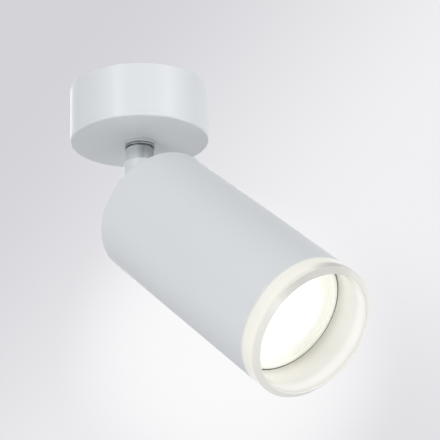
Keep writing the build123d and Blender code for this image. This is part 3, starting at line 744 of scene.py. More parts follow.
@dataclass(frozen=True)
class FrostedAcrylic(Finish):
    """Frosted acrylic with painted light: an emission that follows the height along the ring stands in for
    the lamp's light in it, and arcs by the angle round the head paint a reflection and shade on it.
    """

    bore: float = 25.3
    bevel: float = 121.8
    bore_play: float = 0.03
    bevel_blur: float = 0.1
    # Painted reflection: the bevel turns lighter towards this side.
    reflection_side: float = 75.0
    reflection_run: tuple[float, float] = (-0.2, 0.9)
    # Painted shade: the bevel turns darker towards this side, and the outside near the bevel towards the
    # next one.
    bevel_shade_side: float = 212.0
    bevel_shade_run: tuple[float, float] = (0.76, 0.96)
    outside_shade_side: float = 176.0
    outside_shade_run: tuple[float, float] = (0.78, 0.97)
    # The runs of emission here and in bore_glow are painted light, standing in for the lamp's light in the
    # acrylic; their bands paint its refraction and reflection.
    outside_glow: tuple[Stop, ...] = (
        Stop(106.0, (0.44, 0.43, 0.40)), Stop(114.6, (0.53, 0.53, 0.50)), Stop(115.8, (0.65, 0.65, 0.62)),
        Stop(121.0, (0.68, 0.675, 0.64)), Stop(121.8, (0.60, 0.60, 0.57)),
    )
    # The outside run of emission starts this much earlier towards one side: painted light.
    early_side: float = 195.0
    early_run: tuple[float, float] = (0.4, 0.8)
    early_by: float = 1.2
    # Painted shade on the outside, from this height towards the bevel, and its tone.
    outside_shade_from: float = 117.5
    outside_shade_blur: float = 2.0
    painted_shade_outside: Tone = (0.12, 0.12, 0.12)
    bevel_glow: tuple[Stop, ...] = (Stop(121.9, (0.51, 0.51, 0.50)), Stop(123.4, (0.52, 0.52, 0.50)))
    # Bevel tones of the painted reflection and the painted shade.
    painted_reflection_bevel: Tone = (0.60, 0.60, 0.585)
    painted_shade_bevel: Tone = (0.30, 0.30, 0.29)
    bore_glow: tuple[Stop, ...] = (
        Stop(104.8, (0.46, 0.46, 0.43)), Stop(107.0, (0.46, 0.46, 0.43)), Stop(108.0, (0.51, 0.505, 0.48)),
        Stop(110.0, (0.56, 0.555, 0.54)), Stop(116.0, (0.53, 0.53, 0.53)), Stop(118.0, (0.60, 0.60, 0.60)),
        Stop(120.5, (0.62, 0.62, 0.64)), Stop(121.4, (0.57, 0.57, 0.58)), Stop(122.6, (0.48, 0.48, 0.48)),
    )

    def mix(self, recipe: Recipe) -> None:
        """Pale frosted body, with painted light: one run of emission on its bore and another outside, a
        painted reflection and painted shade on the bevel, and painted shade outside near the bevel.
        """
        radius, height = recipe.round_place(head_frame())
        bevel = recipe.graded(height, self.bevel_glow)
        # Painted reflection and painted shade on the bevel, by the angle round the head.
        bright = recipe.side(head_frame(), self.reflection_side, radius, *self.reflection_run)
        bevel = recipe.blend(bright, bevel, linear(self.painted_reflection_bevel))
        painted_shade = recipe.side(head_frame(), self.bevel_shade_side, radius, *self.bevel_shade_run)
        bevel = recipe.blend(painted_shade, bevel, linear(self.painted_shade_bevel))
        near_bevel = recipe.spread(height, self.outside_shade_from * MM, (self.outside_shade_from + self.outside_shade_blur) * MM)
        # Painted shade on the outside near the bevel.
        painted_shade = recipe.side(head_frame(), self.outside_shade_side, radius, *self.outside_shade_run)
        outside_shade = recipe.calculate("MULTIPLY", painted_shade, near_bevel)
        early = recipe.side(head_frame(), self.early_side, radius, *self.early_run, 0,
                            self.early_by * MM)
        outer = recipe.graded(recipe.calculate("ADD", height, early), self.outside_glow)
        outer = recipe.blend(outside_shade, outer, linear(self.painted_shade_outside))
        on_bevel = recipe.spread(height, self.bevel * MM, (self.bevel + self.bevel_blur) * MM)
        around = recipe.blend(on_bevel, outer, bevel)
        outside = recipe.calculate("GREATER_THAN", radius, (self.bore + self.bore_play) * MM)
        inner = recipe.graded(height, self.bore_glow)
        recipe.drive("Emission Color", recipe.blend(outside, inner, around))
        recipe.fix({"Emission Strength": 1.0, "IOR": 1.49})
        recipe.fix({"Coat Weight": 0.8, "Coat Roughness": 0.14})
        frost = recipe.noise(1900)
        recipe.tint(recipe.cloud(70), self.tone, 0.97)
        recipe.roughen(frost, 0.41, 0.05)
        recipe.bump(frost, 0.2, 0.012)


@dataclass(frozen=True)
class LitDiffuser(Finish):
    """Diffuser lit from behind: over-bright in the middle and creamy at its rim."""

    glow: tuple[Stop, ...] = (
        Stop(0.0, (0.93, 0.93, 0.92)), Stop(14.5, (0.93, 0.93, 0.92)), Stop(17.5, (0.64, 0.64, 0.61)),
        Stop(22.45, (0.64, 0.64, 0.60)),
    )
    ring_waves: float = 9000.0

    def mix(self, recipe: Recipe) -> None:
        """Emission that falls off towards the rim, over fine lens rings."""
        radius, _ = recipe.round_place(head_frame())
        recipe.drive("Emission Color", recipe.graded(radius, self.glow))
        recipe.fix({"Emission Strength": 1.0})
        rings = recipe.calculate("SINE", recipe.calculate("MULTIPLY", radius, self.ring_waves))
        haze = recipe.cloud(700, detail=2)
        recipe.tint(haze, self.tone, 0.96)
        recipe.drive("Roughness", recipe.spread(haze, 0, 1, 0.25, 0.35))
        recipe.bump(rings, 0.3, 0.02)


@dataclass(frozen=True)
class ShellPlastic(MouldedPlastic):
    """Moulded plastic of the lamp, with painted light on its front rim: an emission that dips towards the
    bevel, where it paints shade.
    """

    front: float = 104.7
    # Painted light on the rim, by radius; the dip near 24 mm paints shade on the bevel.
    glow: tuple[Stop, ...] = (
        Stop(22.5, (0.64, 0.64, 0.60)), Stop(23.4, (0.62, 0.62, 0.58)), Stop(24.1, (0.50, 0.50, 0.47)),
        Stop(25.0, (0.56, 0.56, 0.53)),
    )

    def mix(self, recipe: Recipe) -> None:
        """Moulded plastic with painted light, a run of emission, across its front."""
        super().mix(recipe)
        radius, height = recipe.round_place(head_frame())
        front = recipe.spread(height, self.front * MM, (self.front + 0.3) * MM)
        glow = recipe.graded(radius, self.glow)
        recipe.drive("Emission Color", recipe.blend(front, linear((0, 0, 0)), glow))
        recipe.fix({"Emission Strength": 1.0})


PAINT = PowderCoat("white_powder_coat", (0.881, 0.895, 0.904))
# The stem's coat is a little darker than PAINT: painted shade, for the stem hangs under the cup and beside
# the head.
STEM_FINISH = PartPainted("white_powder_coat_masked_painted_shade", (0.855, 0.872, 0.878))
STEEL = BareMetal("zinc_plated_steel", (0.72, 0.73, 0.74))
DARK_STEEL = BareMetal("blackened_steel", (0.42, 0.43, 0.44), roughness=0.38)
BRASS = BareMetal("bright_brass", (0.82, 0.68, 0.40), roughness=0.26)
# Nylon tone greyed to match the shaded underside of the cup: painted shade.
NYLON = MouldedPlastic("nylon_grey_painted_shade", (0.80, 0.81, 0.81))
TERMINAL = MouldedPlastic("terminal_polyamide", (0.88, 0.87, 0.80), roughness=0.36)
LAMP_SHELL = ShellPlastic("lamp_shell_plastic", (0.90, 0.90, 0.88), roughness=0.34)
CERAMIC = Steatite("unglazed_steatite", (0.92, 0.90, 0.85))
SLEEVING = GlassFibreSleeving("glass_fibre_sleeving", (0.88, 0.87, 0.83))
MASK = SolderMask("white_solder_mask", (0.94, 0.94, 0.92))
ACRYLIC = FrostedAcrylic("frosted_acrylic_ring", (0.78, 0.775, 0.75))
DIFFUSER = LitDiffuser("lit_diffuser", (0.88, 0.88, 0.86))


def dress(piece: Piece, finish: Finish, body: Body, slot: Slot, *nodes: str) -> None:
    """Give a modelled piece its finish and body, and let it stand for CAD nodes.

    Args:
        piece: finished piece.
        finish: finish that covers it.
        body: body that it rides on.
        slot: slot of the record that it is painted from; not used.
        nodes: CAD nodes that it replaces.
    """
    piece.data.materials.clear()
    piece.data.materials.append(finish.material())
    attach(piece, body.value)
    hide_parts(*nodes)
    log.info("%s stands for %s, %d faces", piece.name, ", ".join(nodes), len(piece.data.polygons))


def dress_nodes(finish: Finish, *nodes: str) -> None:
    """Cover CAD nodes whose shape stays with a finish."""
    for name in nodes:
        node = frame["nodes"][name]
        for place in node.material_slots:
            place.material = finish.material()
        log.info("%s keeps its shape, in %s", name, finish.name)


# ------------------------------------------------------------------------ ceiling side
@dataclass
class CeilingCup:
    """Turned ceiling cup and the bush in its floor."""

    wall: float = 1.5
    floor: float = 2.0
    edge: float = 0.9
    broken_edge: float = 0.2
    bush_hole: float = 12.2
    screw_hole: float = 3.1
    screw_level: float = -7.0
    screw_angles: tuple[float, ...] = (45.0, 225.0)
    flange: float = 13.2
    flange_depth: float = 1.7
    bush_bore: float = 10.1
    bush_edge: float = 0.15
    flange_edge: float = 0.3

    def build(self) -> None:
        """Make and dress the cup, the bush and what sits in the cup's wall."""
        low, high = measure("ceiling_cup", upright_frame())
        dress(self.shell(high.x, low.z), PAINT, Body.BASE, Slot.PAINT, "ceiling_cup")
        dress(self.bush(low.z), NYLON, Body.BASE, Slot.NYLON, "swivel_bush")
        dress_nodes(STEEL, "side_screws", "stop_pin")

    def shell(self, radius: float, bottom: float) -> Piece:
        """Cup open towards the ceiling, with holes for its side screws.

        Args:
            radius: outer radius.
            bottom: height of its underside.

        Returns:
            The cup.
        """
        inside = radius - self.wall
        top_of_floor = bottom + self.floor
        cup = turned("cup_shell", [
            Corner(radius, 0, self.broken_edge), Corner(radius, bottom, self.edge),
            Corner(self.bush_hole / 2, bottom, self.broken_edge),
            Corner(self.bush_hole / 2, top_of_floor, self.broken_edge),
            Corner(inside, top_of_floor, self.edge), Corner(inside, 0, self.broken_edge),
        ], steps=192)
        bore = moved(rolled(rod(self.screw_hole, 0, radius + 1), 90, "Y"), z=self.screw_level)
        work(cup, Join.CUT, *repeated(bore, self.screw_angles))
        return smoothed(cup)

    def bush(self, under: float) -> Piece:
        """Flanged bush through the cup's floor."""
        barrel = self.bush_hole / 2 - SEAT_GAP
        bush = turned("nylon_bush", [
            Corner(self.bush_bore / 2, under - self.flange_depth, self.bush_edge),
            Corner(self.flange / 2, under - self.flange_depth, self.flange_edge),
            Corner(self.flange / 2, under),
            Corner(barrel, under), Corner(barrel, under + self.floor, self.bush_edge),
            Corner(self.bush_bore / 2, under + self.floor, self.bush_edge),
        ])
        return smoothed(bush)


@dataclass
class MountingPlate:
    """Pressed steel plate with its ceiling slots and turned-down lugs."""

    radius: float = 26.0
    wire_hole: float = 18.0
    thickness: float = 1.5
    broken_edge: float = 0.18
    slot_length: float = 10.0
    slot_width: float = 4.5
    slot_place: float = 19.0
    lug_width: float = 8.0
    lug_reach: float = 27.3
    lug_drop: float = 11.0
    lug_root: float = 20.0
    lug_angles: tuple[float, ...] = (45.0, 225.0)
    lug_hole: float = 3.1
    lug_hole_level: float = -7.0
    bend: float = 1.0
    small_holes: tuple[tuple[float, float, float], ...] = (
        (4.1, 13.435, -13.435), (2.3, -4.5, 16.0), (2.3, 4.5, 16.0),
    )

    def build(self) -> None:
        """Make the plate and dress it with its screws and the terminal block below it."""
        _, high = measure("mounting_plate", upright_frame())
        under = high.z - self.thickness
        outline = ((self.radius, high.z), (self.radius, under), (self.wire_hole / 2, under),
                   (self.wire_hole / 2, high.z))
        plate = turned("pressed_plate", [Corner(*spot, self.broken_edge) for spot in outline])
        work(plate, Join.ADD, *repeated(self.lug(), self.lug_angles))
        slot = stretched(rod(self.slot_width, -4 * self.thickness, 4 * self.thickness),
                         self.slot_length - self.slot_width)
        work(plate, Join.CUT, *repeated(moved(slot, x=self.slot_place), (0.0, 180.0)))
        for diameter, x, y in self.small_holes:
            hole = rod(diameter, -2 * self.thickness, self.thickness, sides=32)
            work(plate, Join.CUT, moved(hole, x=x, y=y))
        dress(smoothed(plate), STEEL, Body.BASE, Slot.STEEL, "mounting_plate")
        dress_nodes(BRASS, "earth_screw", "earth_washer", "terminal_sleeves")
        dress_nodes(STEEL, "clamp_screws", "block_screws")
        dress_nodes(TERMINAL, "terminal_block")
        dress_nodes(SLEEVING, "supply_leads")

    def lug(self) -> Piece:
        """Lug bent down from the plate, drawn towards +X, with its screw hole."""
        pick()
        bpy.ops.mesh.primitive_plane_add(size=self.lug_width * MM)
        strip = named("lug")
        turn_in = self.lug_reach - self.bend - self.thickness
        with editing(strip):
            choose(strip, lambda spot: spot.x > 0)
            bpy.ops.mesh.delete(type="VERT")
            choose_all()
            bpy.ops.transform.translate(value=((self.lug_root + self.lug_width / 2) * MM, 0, 0))
            reach = (turn_in - self.lug_root) * MM
            bpy.ops.mesh.extrude_region_move(TRANSFORM_OT_translate={"value": (reach, 0, 0)})
            centre = (turn_in * MM, 0, -(self.bend + self.thickness) * MM)
            bpy.ops.mesh.spin(steps=6, angle=math.pi / 2, center=centre, axis=(0, -1, 0),
                              use_auto_merge=False)
            drop = (self.lug_drop - self.bend - self.thickness) * MM
            bpy.ops.mesh.extrude_region_move(TRANSFORM_OT_translate={"value": (0, 0, -drop)})
            close_up()
        level = max(strip.data.polygons, key=lambda face: abs(face.normal.z))
        run_modifier(strip, "SOLIDIFY", thickness=self.thickness * MM,
                     offset=-1 if level.normal.z > 0 else 1)
        bore = rolled(rod(self.lug_hole, 0, self.lug_reach + 2, sides=32), 90, "Y")
        work(strip, Join.CUT, moved(bore, z=self.lug_hole_level))
        return softened(strip, self.broken_edge)


# --------------------------------------------------------------------------- stem side
@dataclass
class SwivelStem:
    """Stem that turns in the cup: threaded nipple, neck, fork and the washers on it."""

    bore: float = 6.4
    nipple: float = 10.0
    nut_flats: float = 14.0
    neck: float = 12.0
    fork: float = 14.0
    neck_top: float = -27.25
    fork_top: float = -33.75
    edge: float = 0.4
    across_flats: float = 10.8
    slot: float = 6.0
    slot_radius: float = 4.5
    relief: float = 10.0
    pivot_hole: float = 4.1
    nipple_flat: float = 4.2
    flat_from: float = -22.0
    thread_from: float = -21.6
    thread_depth: float = 0.45
    thread_play: float = 0.03
    pitch: float = 1.0
    broken_edge: float = 0.18
    spacer_hub: float = 10.6
    spacer_groove: float = 0.35
    spacer_edge: float = 0.12
    round_play: float = 0.02
    arch_lift: float = 60.0

    def build(self) -> None:
        """Make and dress the stem, its spacer and its nut."""
        low, high = measure("swivel_stem", upright_frame())
        dress(self.stem(low.z, high.z), STEM_FINISH, Body.STEM, Slot.PAINT, "swivel_stem")
        dress(self.spacer(), STEEL, Body.STEM, Slot.STEEL, "swivel_spacer")
        nut = thin_nut("swivel_thin_nut", "swivel_nut", upright_frame(), self.nut_flats, self.nipple)
        dress(nut, STEEL, Body.STEM, Slot.STEEL, "swivel_nut")
        dress_nodes(STEEL, "stop_washer", "spring_washer")

    def stem(self, bottom: float, top: float) -> Piece:
        """Turned stem with its fork milled out.

        Args:
            bottom: lowest point of the fork's round end.
            top: end of the nipple.

        Returns:
            The stem.
        """
        radius = self.fork / 2
        pivot = bottom + radius
        bore_end = pivot + self.slot_radius - 1
        stem = turned("stem_and_fork", [
            Corner(0, bore_end), Corner(self.bore / 2, bore_end), Corner(self.bore / 2, top),
            Corner(self.nipple / 2, top, self.edge), Corner(self.nipple / 2, self.neck_top),
            Corner(self.neck / 2, self.neck_top, self.edge), Corner(self.neck / 2, self.fork_top),
            Corner(radius, self.fork_top, self.edge), Corner(radius, bottom - 1), Corner(0, bottom - 1),
        ], closed=False, steps=96)
        beyond = 3 * radius
        envelope = cross_rod(2 * radius + self.round_play, beyond, pivot)
        work(stem, Join.COMMON, self.arch(envelope, pivot))
        half = self.across_flats / 2
        for side in (-1, 1):
            near, far = sorted((side * half, side * beyond))
            work(stem, Join.CUT,
                 block((-beyond, near, pivot - beyond), (beyond, far, pivot + radius)))
        half = self.slot / 2
        round_slot = cross_rod(2 * self.slot_radius, half, pivot)
        mouth = block((-self.slot_radius, -half, pivot - beyond), (beyond, half, pivot))
        relief = block((0, -half, pivot - 1), (beyond, half, pivot + self.relief))
        pivot_bore = cross_rod(self.pivot_hole, beyond, pivot, sides=48)
        flat = block((-beyond, -beyond, self.flat_from), (-self.nipple_flat, beyond, top + 1))
        work(stem, Join.CUT, round_slot, mouth, relief, pivot_bore, flat)
        softened(stem, self.broken_edge)
        return smoothed(work(stem, Join.CUT, self.thread(top)))

    def thread(self, top: float) -> Piece:
        """Cutter that leaves the turns of the thread round the nipple's end."""
        radius = self.nipple / 2
        crest, root, outside = radius + self.thread_play, radius - self.thread_depth, radius + 1
        turns = round((top - self.thread_from) / self.pitch)
        teeth = []
        for number in range(turns):
            low = self.thread_from + number * self.pitch
            teeth += [Corner(crest, low), Corner(root, low + self.pitch / 2)]
        end = self.thread_from + turns * self.pitch
        return turned("thread_cutter", [
            Corner(outside, self.thread_from), *teeth, Corner(crest, end), Corner(outside, end),
        ], steps=96)

    def arch(self, rod_across: Piece, pivot: float) -> Piece:
        """Raise the upper half of a rod across the pivot, which makes an arch upside down."""
        with editing(rod_across):
            choose(rod_across, lambda spot: spot.z > pivot * MM + CLOSE)
            bpy.ops.transform.translate(value=(0, 0, self.arch_lift * MM))
        return rod_across

    def spacer(self) -> Piece:
        """Turned spacer whose rim stands between two grooves."""
        low, high = measure("swivel_spacer", upright_frame())
        hub = self.spacer_hub / 2
        hole = self.nipple / 2 + SEAT_GAP
        rim_top, rim_under = high.z - self.spacer_groove, low.z + self.spacer_groove
        spacer = turned("grooved_spacer", [
            Corner(hole, high.z), Corner(hub, high.z), Corner(hub, rim_top),
            Corner(high.x, rim_top, self.spacer_edge), Corner(high.x, rim_under, self.spacer_edge),
            Corner(hub, rim_under), Corner(hub, low.z), Corner(hole, low.z),
        ])
        return smoothed(spacer)


def thin_nut(name: str, node: str, place: Matrix, across_flats: float, thread: float) -> Piece:
    """Hexagonal nut with its corners turned off at both ends.

    Args:
        name: name of the piece.
        node: CAD node that gives its place.
        place: frame in which it stands on Z.
        across_flats: size of its spanner.
        thread: diameter of its thread.

    Returns:
        The nut.
    """
    low, high = measure(node, place)
    corner = across_flats / math.sqrt(3)
    bevel = across_flats * NUT_BEVEL
    hole = thread / 2 + SEAT_GAP
    nut = turned(name, [
        Corner(hole, low.z, NUT_EDGE), Corner(corner - bevel, low.z), Corner(corner, low.z + bevel / 2),
        Corner(corner, high.z - bevel / 2), Corner(corner - bevel, high.z),
        Corner(hole, high.z, NUT_EDGE),
    ])
    flats = rolled(hex_bar(across_flats, low.z - 1, high.z + 1), 30)
    return laid(smoothed(work(nut, Join.COMMON, flats)), place)


@dataclass
class TiltPivot:
    """Screw, washers and nut of the tilt joint."""

    head_height: float = 2.4
    head: float = 7.0
    shank: float = 4.0
    socket: float = 2.5
    socket_floor: float = 0.4
    shank_edge: float = 0.3
    seat_edge: float = 0.1
    head_edge: float = 0.7
    nut_flats: float = 7.0

    def build(self) -> None:
        """Make and dress the screw and its nut."""
        dress(self.screw(), DARK_STEEL, Body.STEM, Slot.STEEL, "pivot_screw")
        nut = thin_nut("pivot_lock_nut", "pivot_nut", pivot_frame(), self.nut_flats, self.shank)
        dress(nut, STEEL, Body.STEM, Slot.STEEL, "pivot_nut")
        dress_nodes(STEEL, "pivot_washer")
        dress_nodes(NYLON, "friction_washers")

    def screw(self) -> Piece:
        """Socket screw with a broken edge round its head."""
        low, high = measure("pivot_screw", pivot_frame())
        seat = high.z - self.head_height
        screw = turned("pivot_socket_screw", [
            Corner(0, low.z), Corner(self.shank / 2, low.z, self.shank_edge),
            Corner(self.shank / 2, seat), Corner(self.head / 2, seat, self.seat_edge),
            Corner(self.head / 2, high.z, self.head_edge), Corner(0, high.z),
        ], closed=False, steps=96)
        floor = seat + self.head_height * self.socket_floor
        work(screw, Join.CUT, hex_bar(self.socket, floor, high.z + 1))
        return laid(smoothed(screw), pivot_frame())


# --------------------------------------------------------------------------- head side
@dataclass
class HeadShell:
    """Tube, rear cap, clear ring and the knuckle that carries them."""

    body_wall: float = 1.2
    rear_edge: float = 0.9
    front_edge: float = 0.3
    broken_edge: float = 0.15
    cap_thickness: float = 3.0
    skirt_wall: float = 2.0
    cap_edge: float = 0.3
    skirt_root: float = 0.6
    stem_hole: float = 10.1
    ring_bore: float = 50.6
    ring_bevel: float = 1.5
    ring_nose: float = 0.35
    ring_edge: float = 0.1
    ring_rear_edge: float = 0.2
    bevel_edge: float = 0.12
    collar: float = 1.1
    foot_height: float = 5.0
    foot_edge: float = 0.5
    spigot: float = 10.0
    spigot_edge: float = 0.4
    knuckle_bore: float = 7.6
    bore_end: float = 3.0
    tongue_waist: float = 1.8
    tongue_radius: float = 4.2
    tongue_thickness: float = 5.1
    pivot_hole: float = 4.1
    window: float = 4.2
    window_place: float = -4.0

    def build(self) -> None:
        """Make and dress the shell's pieces."""
        dress(self.tube(), PAINT, Body.HEAD, Slot.PAINT, "body_tube")
        dress(self.cap(), PAINT, Body.HEAD, Slot.PAINT, "rear_cap")
        dress(self.ring(), ACRYLIC, Body.HEAD, Slot.ACRYLIC, "acrylic_ring")
        dress(self.knuckle(), PAINT, Body.HEAD, Slot.PAINT, "knuckle")
        dress_nodes(STEEL, "holder_bracket", "knuckle_nut", "holder_screws", "holder_nuts")
        dress_nodes(BRASS, "earth_tag", "holder_contacts")
        dress_nodes(CERAMIC, "lamp_holder")
        dress_nodes(SLEEVING, "lamp_leads")

    def tube(self) -> Piece:
        """Drawn tube with a rounded rear edge."""
        low, high = measure("body_tube", head_frame())
        bore = high.x - self.body_wall
        tube = turned("drawn_tube", [
            Corner(bore, low.z, self.broken_edge), Corner(high.x, low.z, self.rear_edge),
            Corner(high.x, high.z, self.front_edge), Corner(bore, high.z, self.broken_edge),
        ], steps=192)
        return smoothed(laid(tube, head_frame()))

    def cap(self) -> Piece:
        """Rear cap with its skirt inside the tube."""
        low, high = measure("rear_cap", head_frame())
        inside = low.z + self.cap_thickness
        skirt = high.x - self.skirt_wall
        cap = turned("tube_end_cap", [
            Corner(self.stem_hole / 2, low.z, self.broken_edge), Corner(high.x, low.z, self.cap_edge),
            Corner(high.x, high.z, self.broken_edge), Corner(skirt, high.z, self.broken_edge),
            Corner(skirt, inside, self.skirt_root),
            Corner(self.stem_hole / 2, inside, self.broken_edge),
        ], steps=160)
        return smoothed(laid(cap, head_frame()))

    def ring(self) -> Piece:
        """Clear ring: spigot in the tube, lip and bevelled front."""
        low, high = measure("acrylic_ring", head_frame())
        _, tube = measure("body_tube", head_frame())
        spigot = tube.x - self.body_wall - SEAT_GAP
        bore = self.ring_bore / 2
        outer_edge = high.z - self.ring_bevel
        rear = low.z - self.collar
        ring = turned("frosted_ring", [
            Corner(bore, rear, self.ring_edge), Corner(spigot, rear, self.ring_rear_edge),
            Corner(spigot, tube.z),
            Corner(high.x - self.front_edge, tube.z), Corner(high.x, tube.z + self.front_edge),
            Corner(high.x, outer_edge, self.bevel_edge),
            Corner(bore + self.ring_nose, high.z, self.ring_edge),
            Corner(bore, high.z - self.ring_nose, self.ring_edge),
        ], steps=256, softening_steps=3)
        return smoothed(laid(ring, head_frame()), angle=26)

    def knuckle(self) -> Piece:
        """Knuckle: tongue, round foot and spigot, with the window for the leads."""
        _, high = measure("knuckle", head_frame())
        rear, _ = measure("body_tube", head_frame())
        foot = high.x
        foot_back = rear.z - self.foot_height
        bore = self.knuckle_bore / 2
        knuckle = turned("tilt_knuckle", [
            Corner(0, foot_back + self.bore_end), Corner(bore, foot_back + self.bore_end),
            Corner(bore, high.z), Corner(self.spigot / 2, high.z, self.spigot_edge),
            Corner(self.spigot / 2, rear.z),
            Corner(foot, rear.z), Corner(foot, foot_back, self.foot_edge), Corner(0, foot_back),
        ], closed=False, steps=96)
        half = self.tongue_thickness / 2
        eye = cross_rod(2 * self.tongue_radius, half)
        web = block((-self.tongue_waist, -half, 0), (self.tongue_radius, half, foot_back + 1))
        work(knuckle, Join.ADD, work(eye, Join.ADD, web))
        bolt = cross_rod(self.pivot_hole, 2 * half, sides=48)
        window_end = rear.z - self.foot_edge
        window = moved(rod(self.window, foot_back - 1, window_end, sides=48), x=self.window_place)
        softened(work(knuckle, Join.CUT, bolt), self.broken_edge)
        return smoothed(laid(work(knuckle, Join.CUT, window), head_frame()))


@dataclass
class Lamp:
    """GU10 lamp: flared shell with ribs, rim and lit lens."""

    neck: float = 24.0
    neck_length: float = 9.0
    neck_edge: float = 0.5
    neck_root: float = 0.4
    shoulder: float = 31.0
    shoulder_edge: float = 0.6
    rim_rear_edge: float = 0.3
    fine_edge: float = 0.15
    rim_height: float = 7.0
    rib_depth: float = 1.4
    rib_width: float = 1.2
    ribs: int = 12
    recess: float = 45.0
    recess_depth: float = 5.0
    bevel: float = 0.5
    lens_crown: float = 0.6
    crown_steps: int = 8

    def build(self) -> None:
        """Make and dress the lamp's shell and lens."""
        dress(self.shell(), LAMP_SHELL, Body.LAMP, Slot.LAMP, "lamp_housing")
        dress(self.lens(), DIFFUSER, Body.LAMP, Slot.DIFFUSER, "lamp_lens")
        dress_nodes(LAMP_SHELL, "lens_seat")
        dress_nodes(MASK, "led_board")
        dress_nodes(STEEL, "lamp_pins")

    def shell(self) -> Piece:
        """Shell with its ribs between shoulder and rim."""
        low, high = measure("lamp_housing", head_frame())
        radius = high.x
        rim_back = high.z - self.rim_height
        shoulder_at = low.z + self.neck_length
        shell = turned("lamp_shell", [
            Corner(0, low.z), Corner(self.neck / 2, low.z, self.neck_edge),
            Corner(self.neck / 2, shoulder_at, self.neck_root),
            Corner(self.shoulder / 2, shoulder_at, self.shoulder_edge),
            Corner(radius - self.rib_depth, rim_back), Corner(radius, rim_back, self.rim_rear_edge),
            Corner(radius, high.z - self.bevel, self.fine_edge),
            Corner(radius - self.bevel, high.z, self.fine_edge),
            Corner(self.recess / 2, high.z, self.fine_edge),
            Corner(self.recess / 2, high.z - self.recess_depth), Corner(0, high.z - self.recess_depth),
        ], closed=False, steps=160)
        angles = [360 / self.ribs * (number + 0.5) for number in range(self.ribs)]
        work(shell, Join.ADD, *repeated(self.rib(shoulder_at, rim_back, radius), angles))
        return smoothed(laid(shell, head_frame()))

    def rib(self, low: float, high: float, radius: float) -> Piece:
        """One cooling rib towards +X, leaning out along the flare."""
        root = self.shoulder / 2 - 2 * self.rib_depth
        half = self.rib_width / 2
        rib = block((root, -half, low), (self.shoulder / 2, half, high + 0.2))
        flare = (radius - self.shoulder / 2) * MM
        with editing(rib):
            choose(rib, lambda spot: spot.z > high * MM)
            bpy.ops.transform.translate(value=(flare, 0, 0))
        return rib

    def lens(self) -> Piece:
        """Crowned lens, set flush in the shell."""
        low, high = measure("lamp_lens", head_frame())
        crown = [
            Corner(high.x * (1 - number / self.crown_steps),
                   high.z - self.lens_crown * (1 - number / self.crown_steps) ** 2,
                   0.0 if number else self.fine_edge)
            for number in range(self.crown_steps + 1)
        ]
        lens = turned("crowned_lens", [Corner(0, low.z), Corner(high.x, low.z), *crown], closed=False)
        return smoothed(laid(lens, head_frame()))


# ------------------------------------------------------------------------------ studio
@dataclass(frozen=True)
class Softbox:
    """Soft light on a sphere round the spotlight, facing it."""

    name: str
    azimuth: float
    elevation: float
    size: float
    watts: float


@dataclass(frozen=True)
class Glow:
    """Soft round patch of tone on the backdrop, measured in half widths of the picture."""

    across: float
    up: float
    reach: float
    tone: Tone


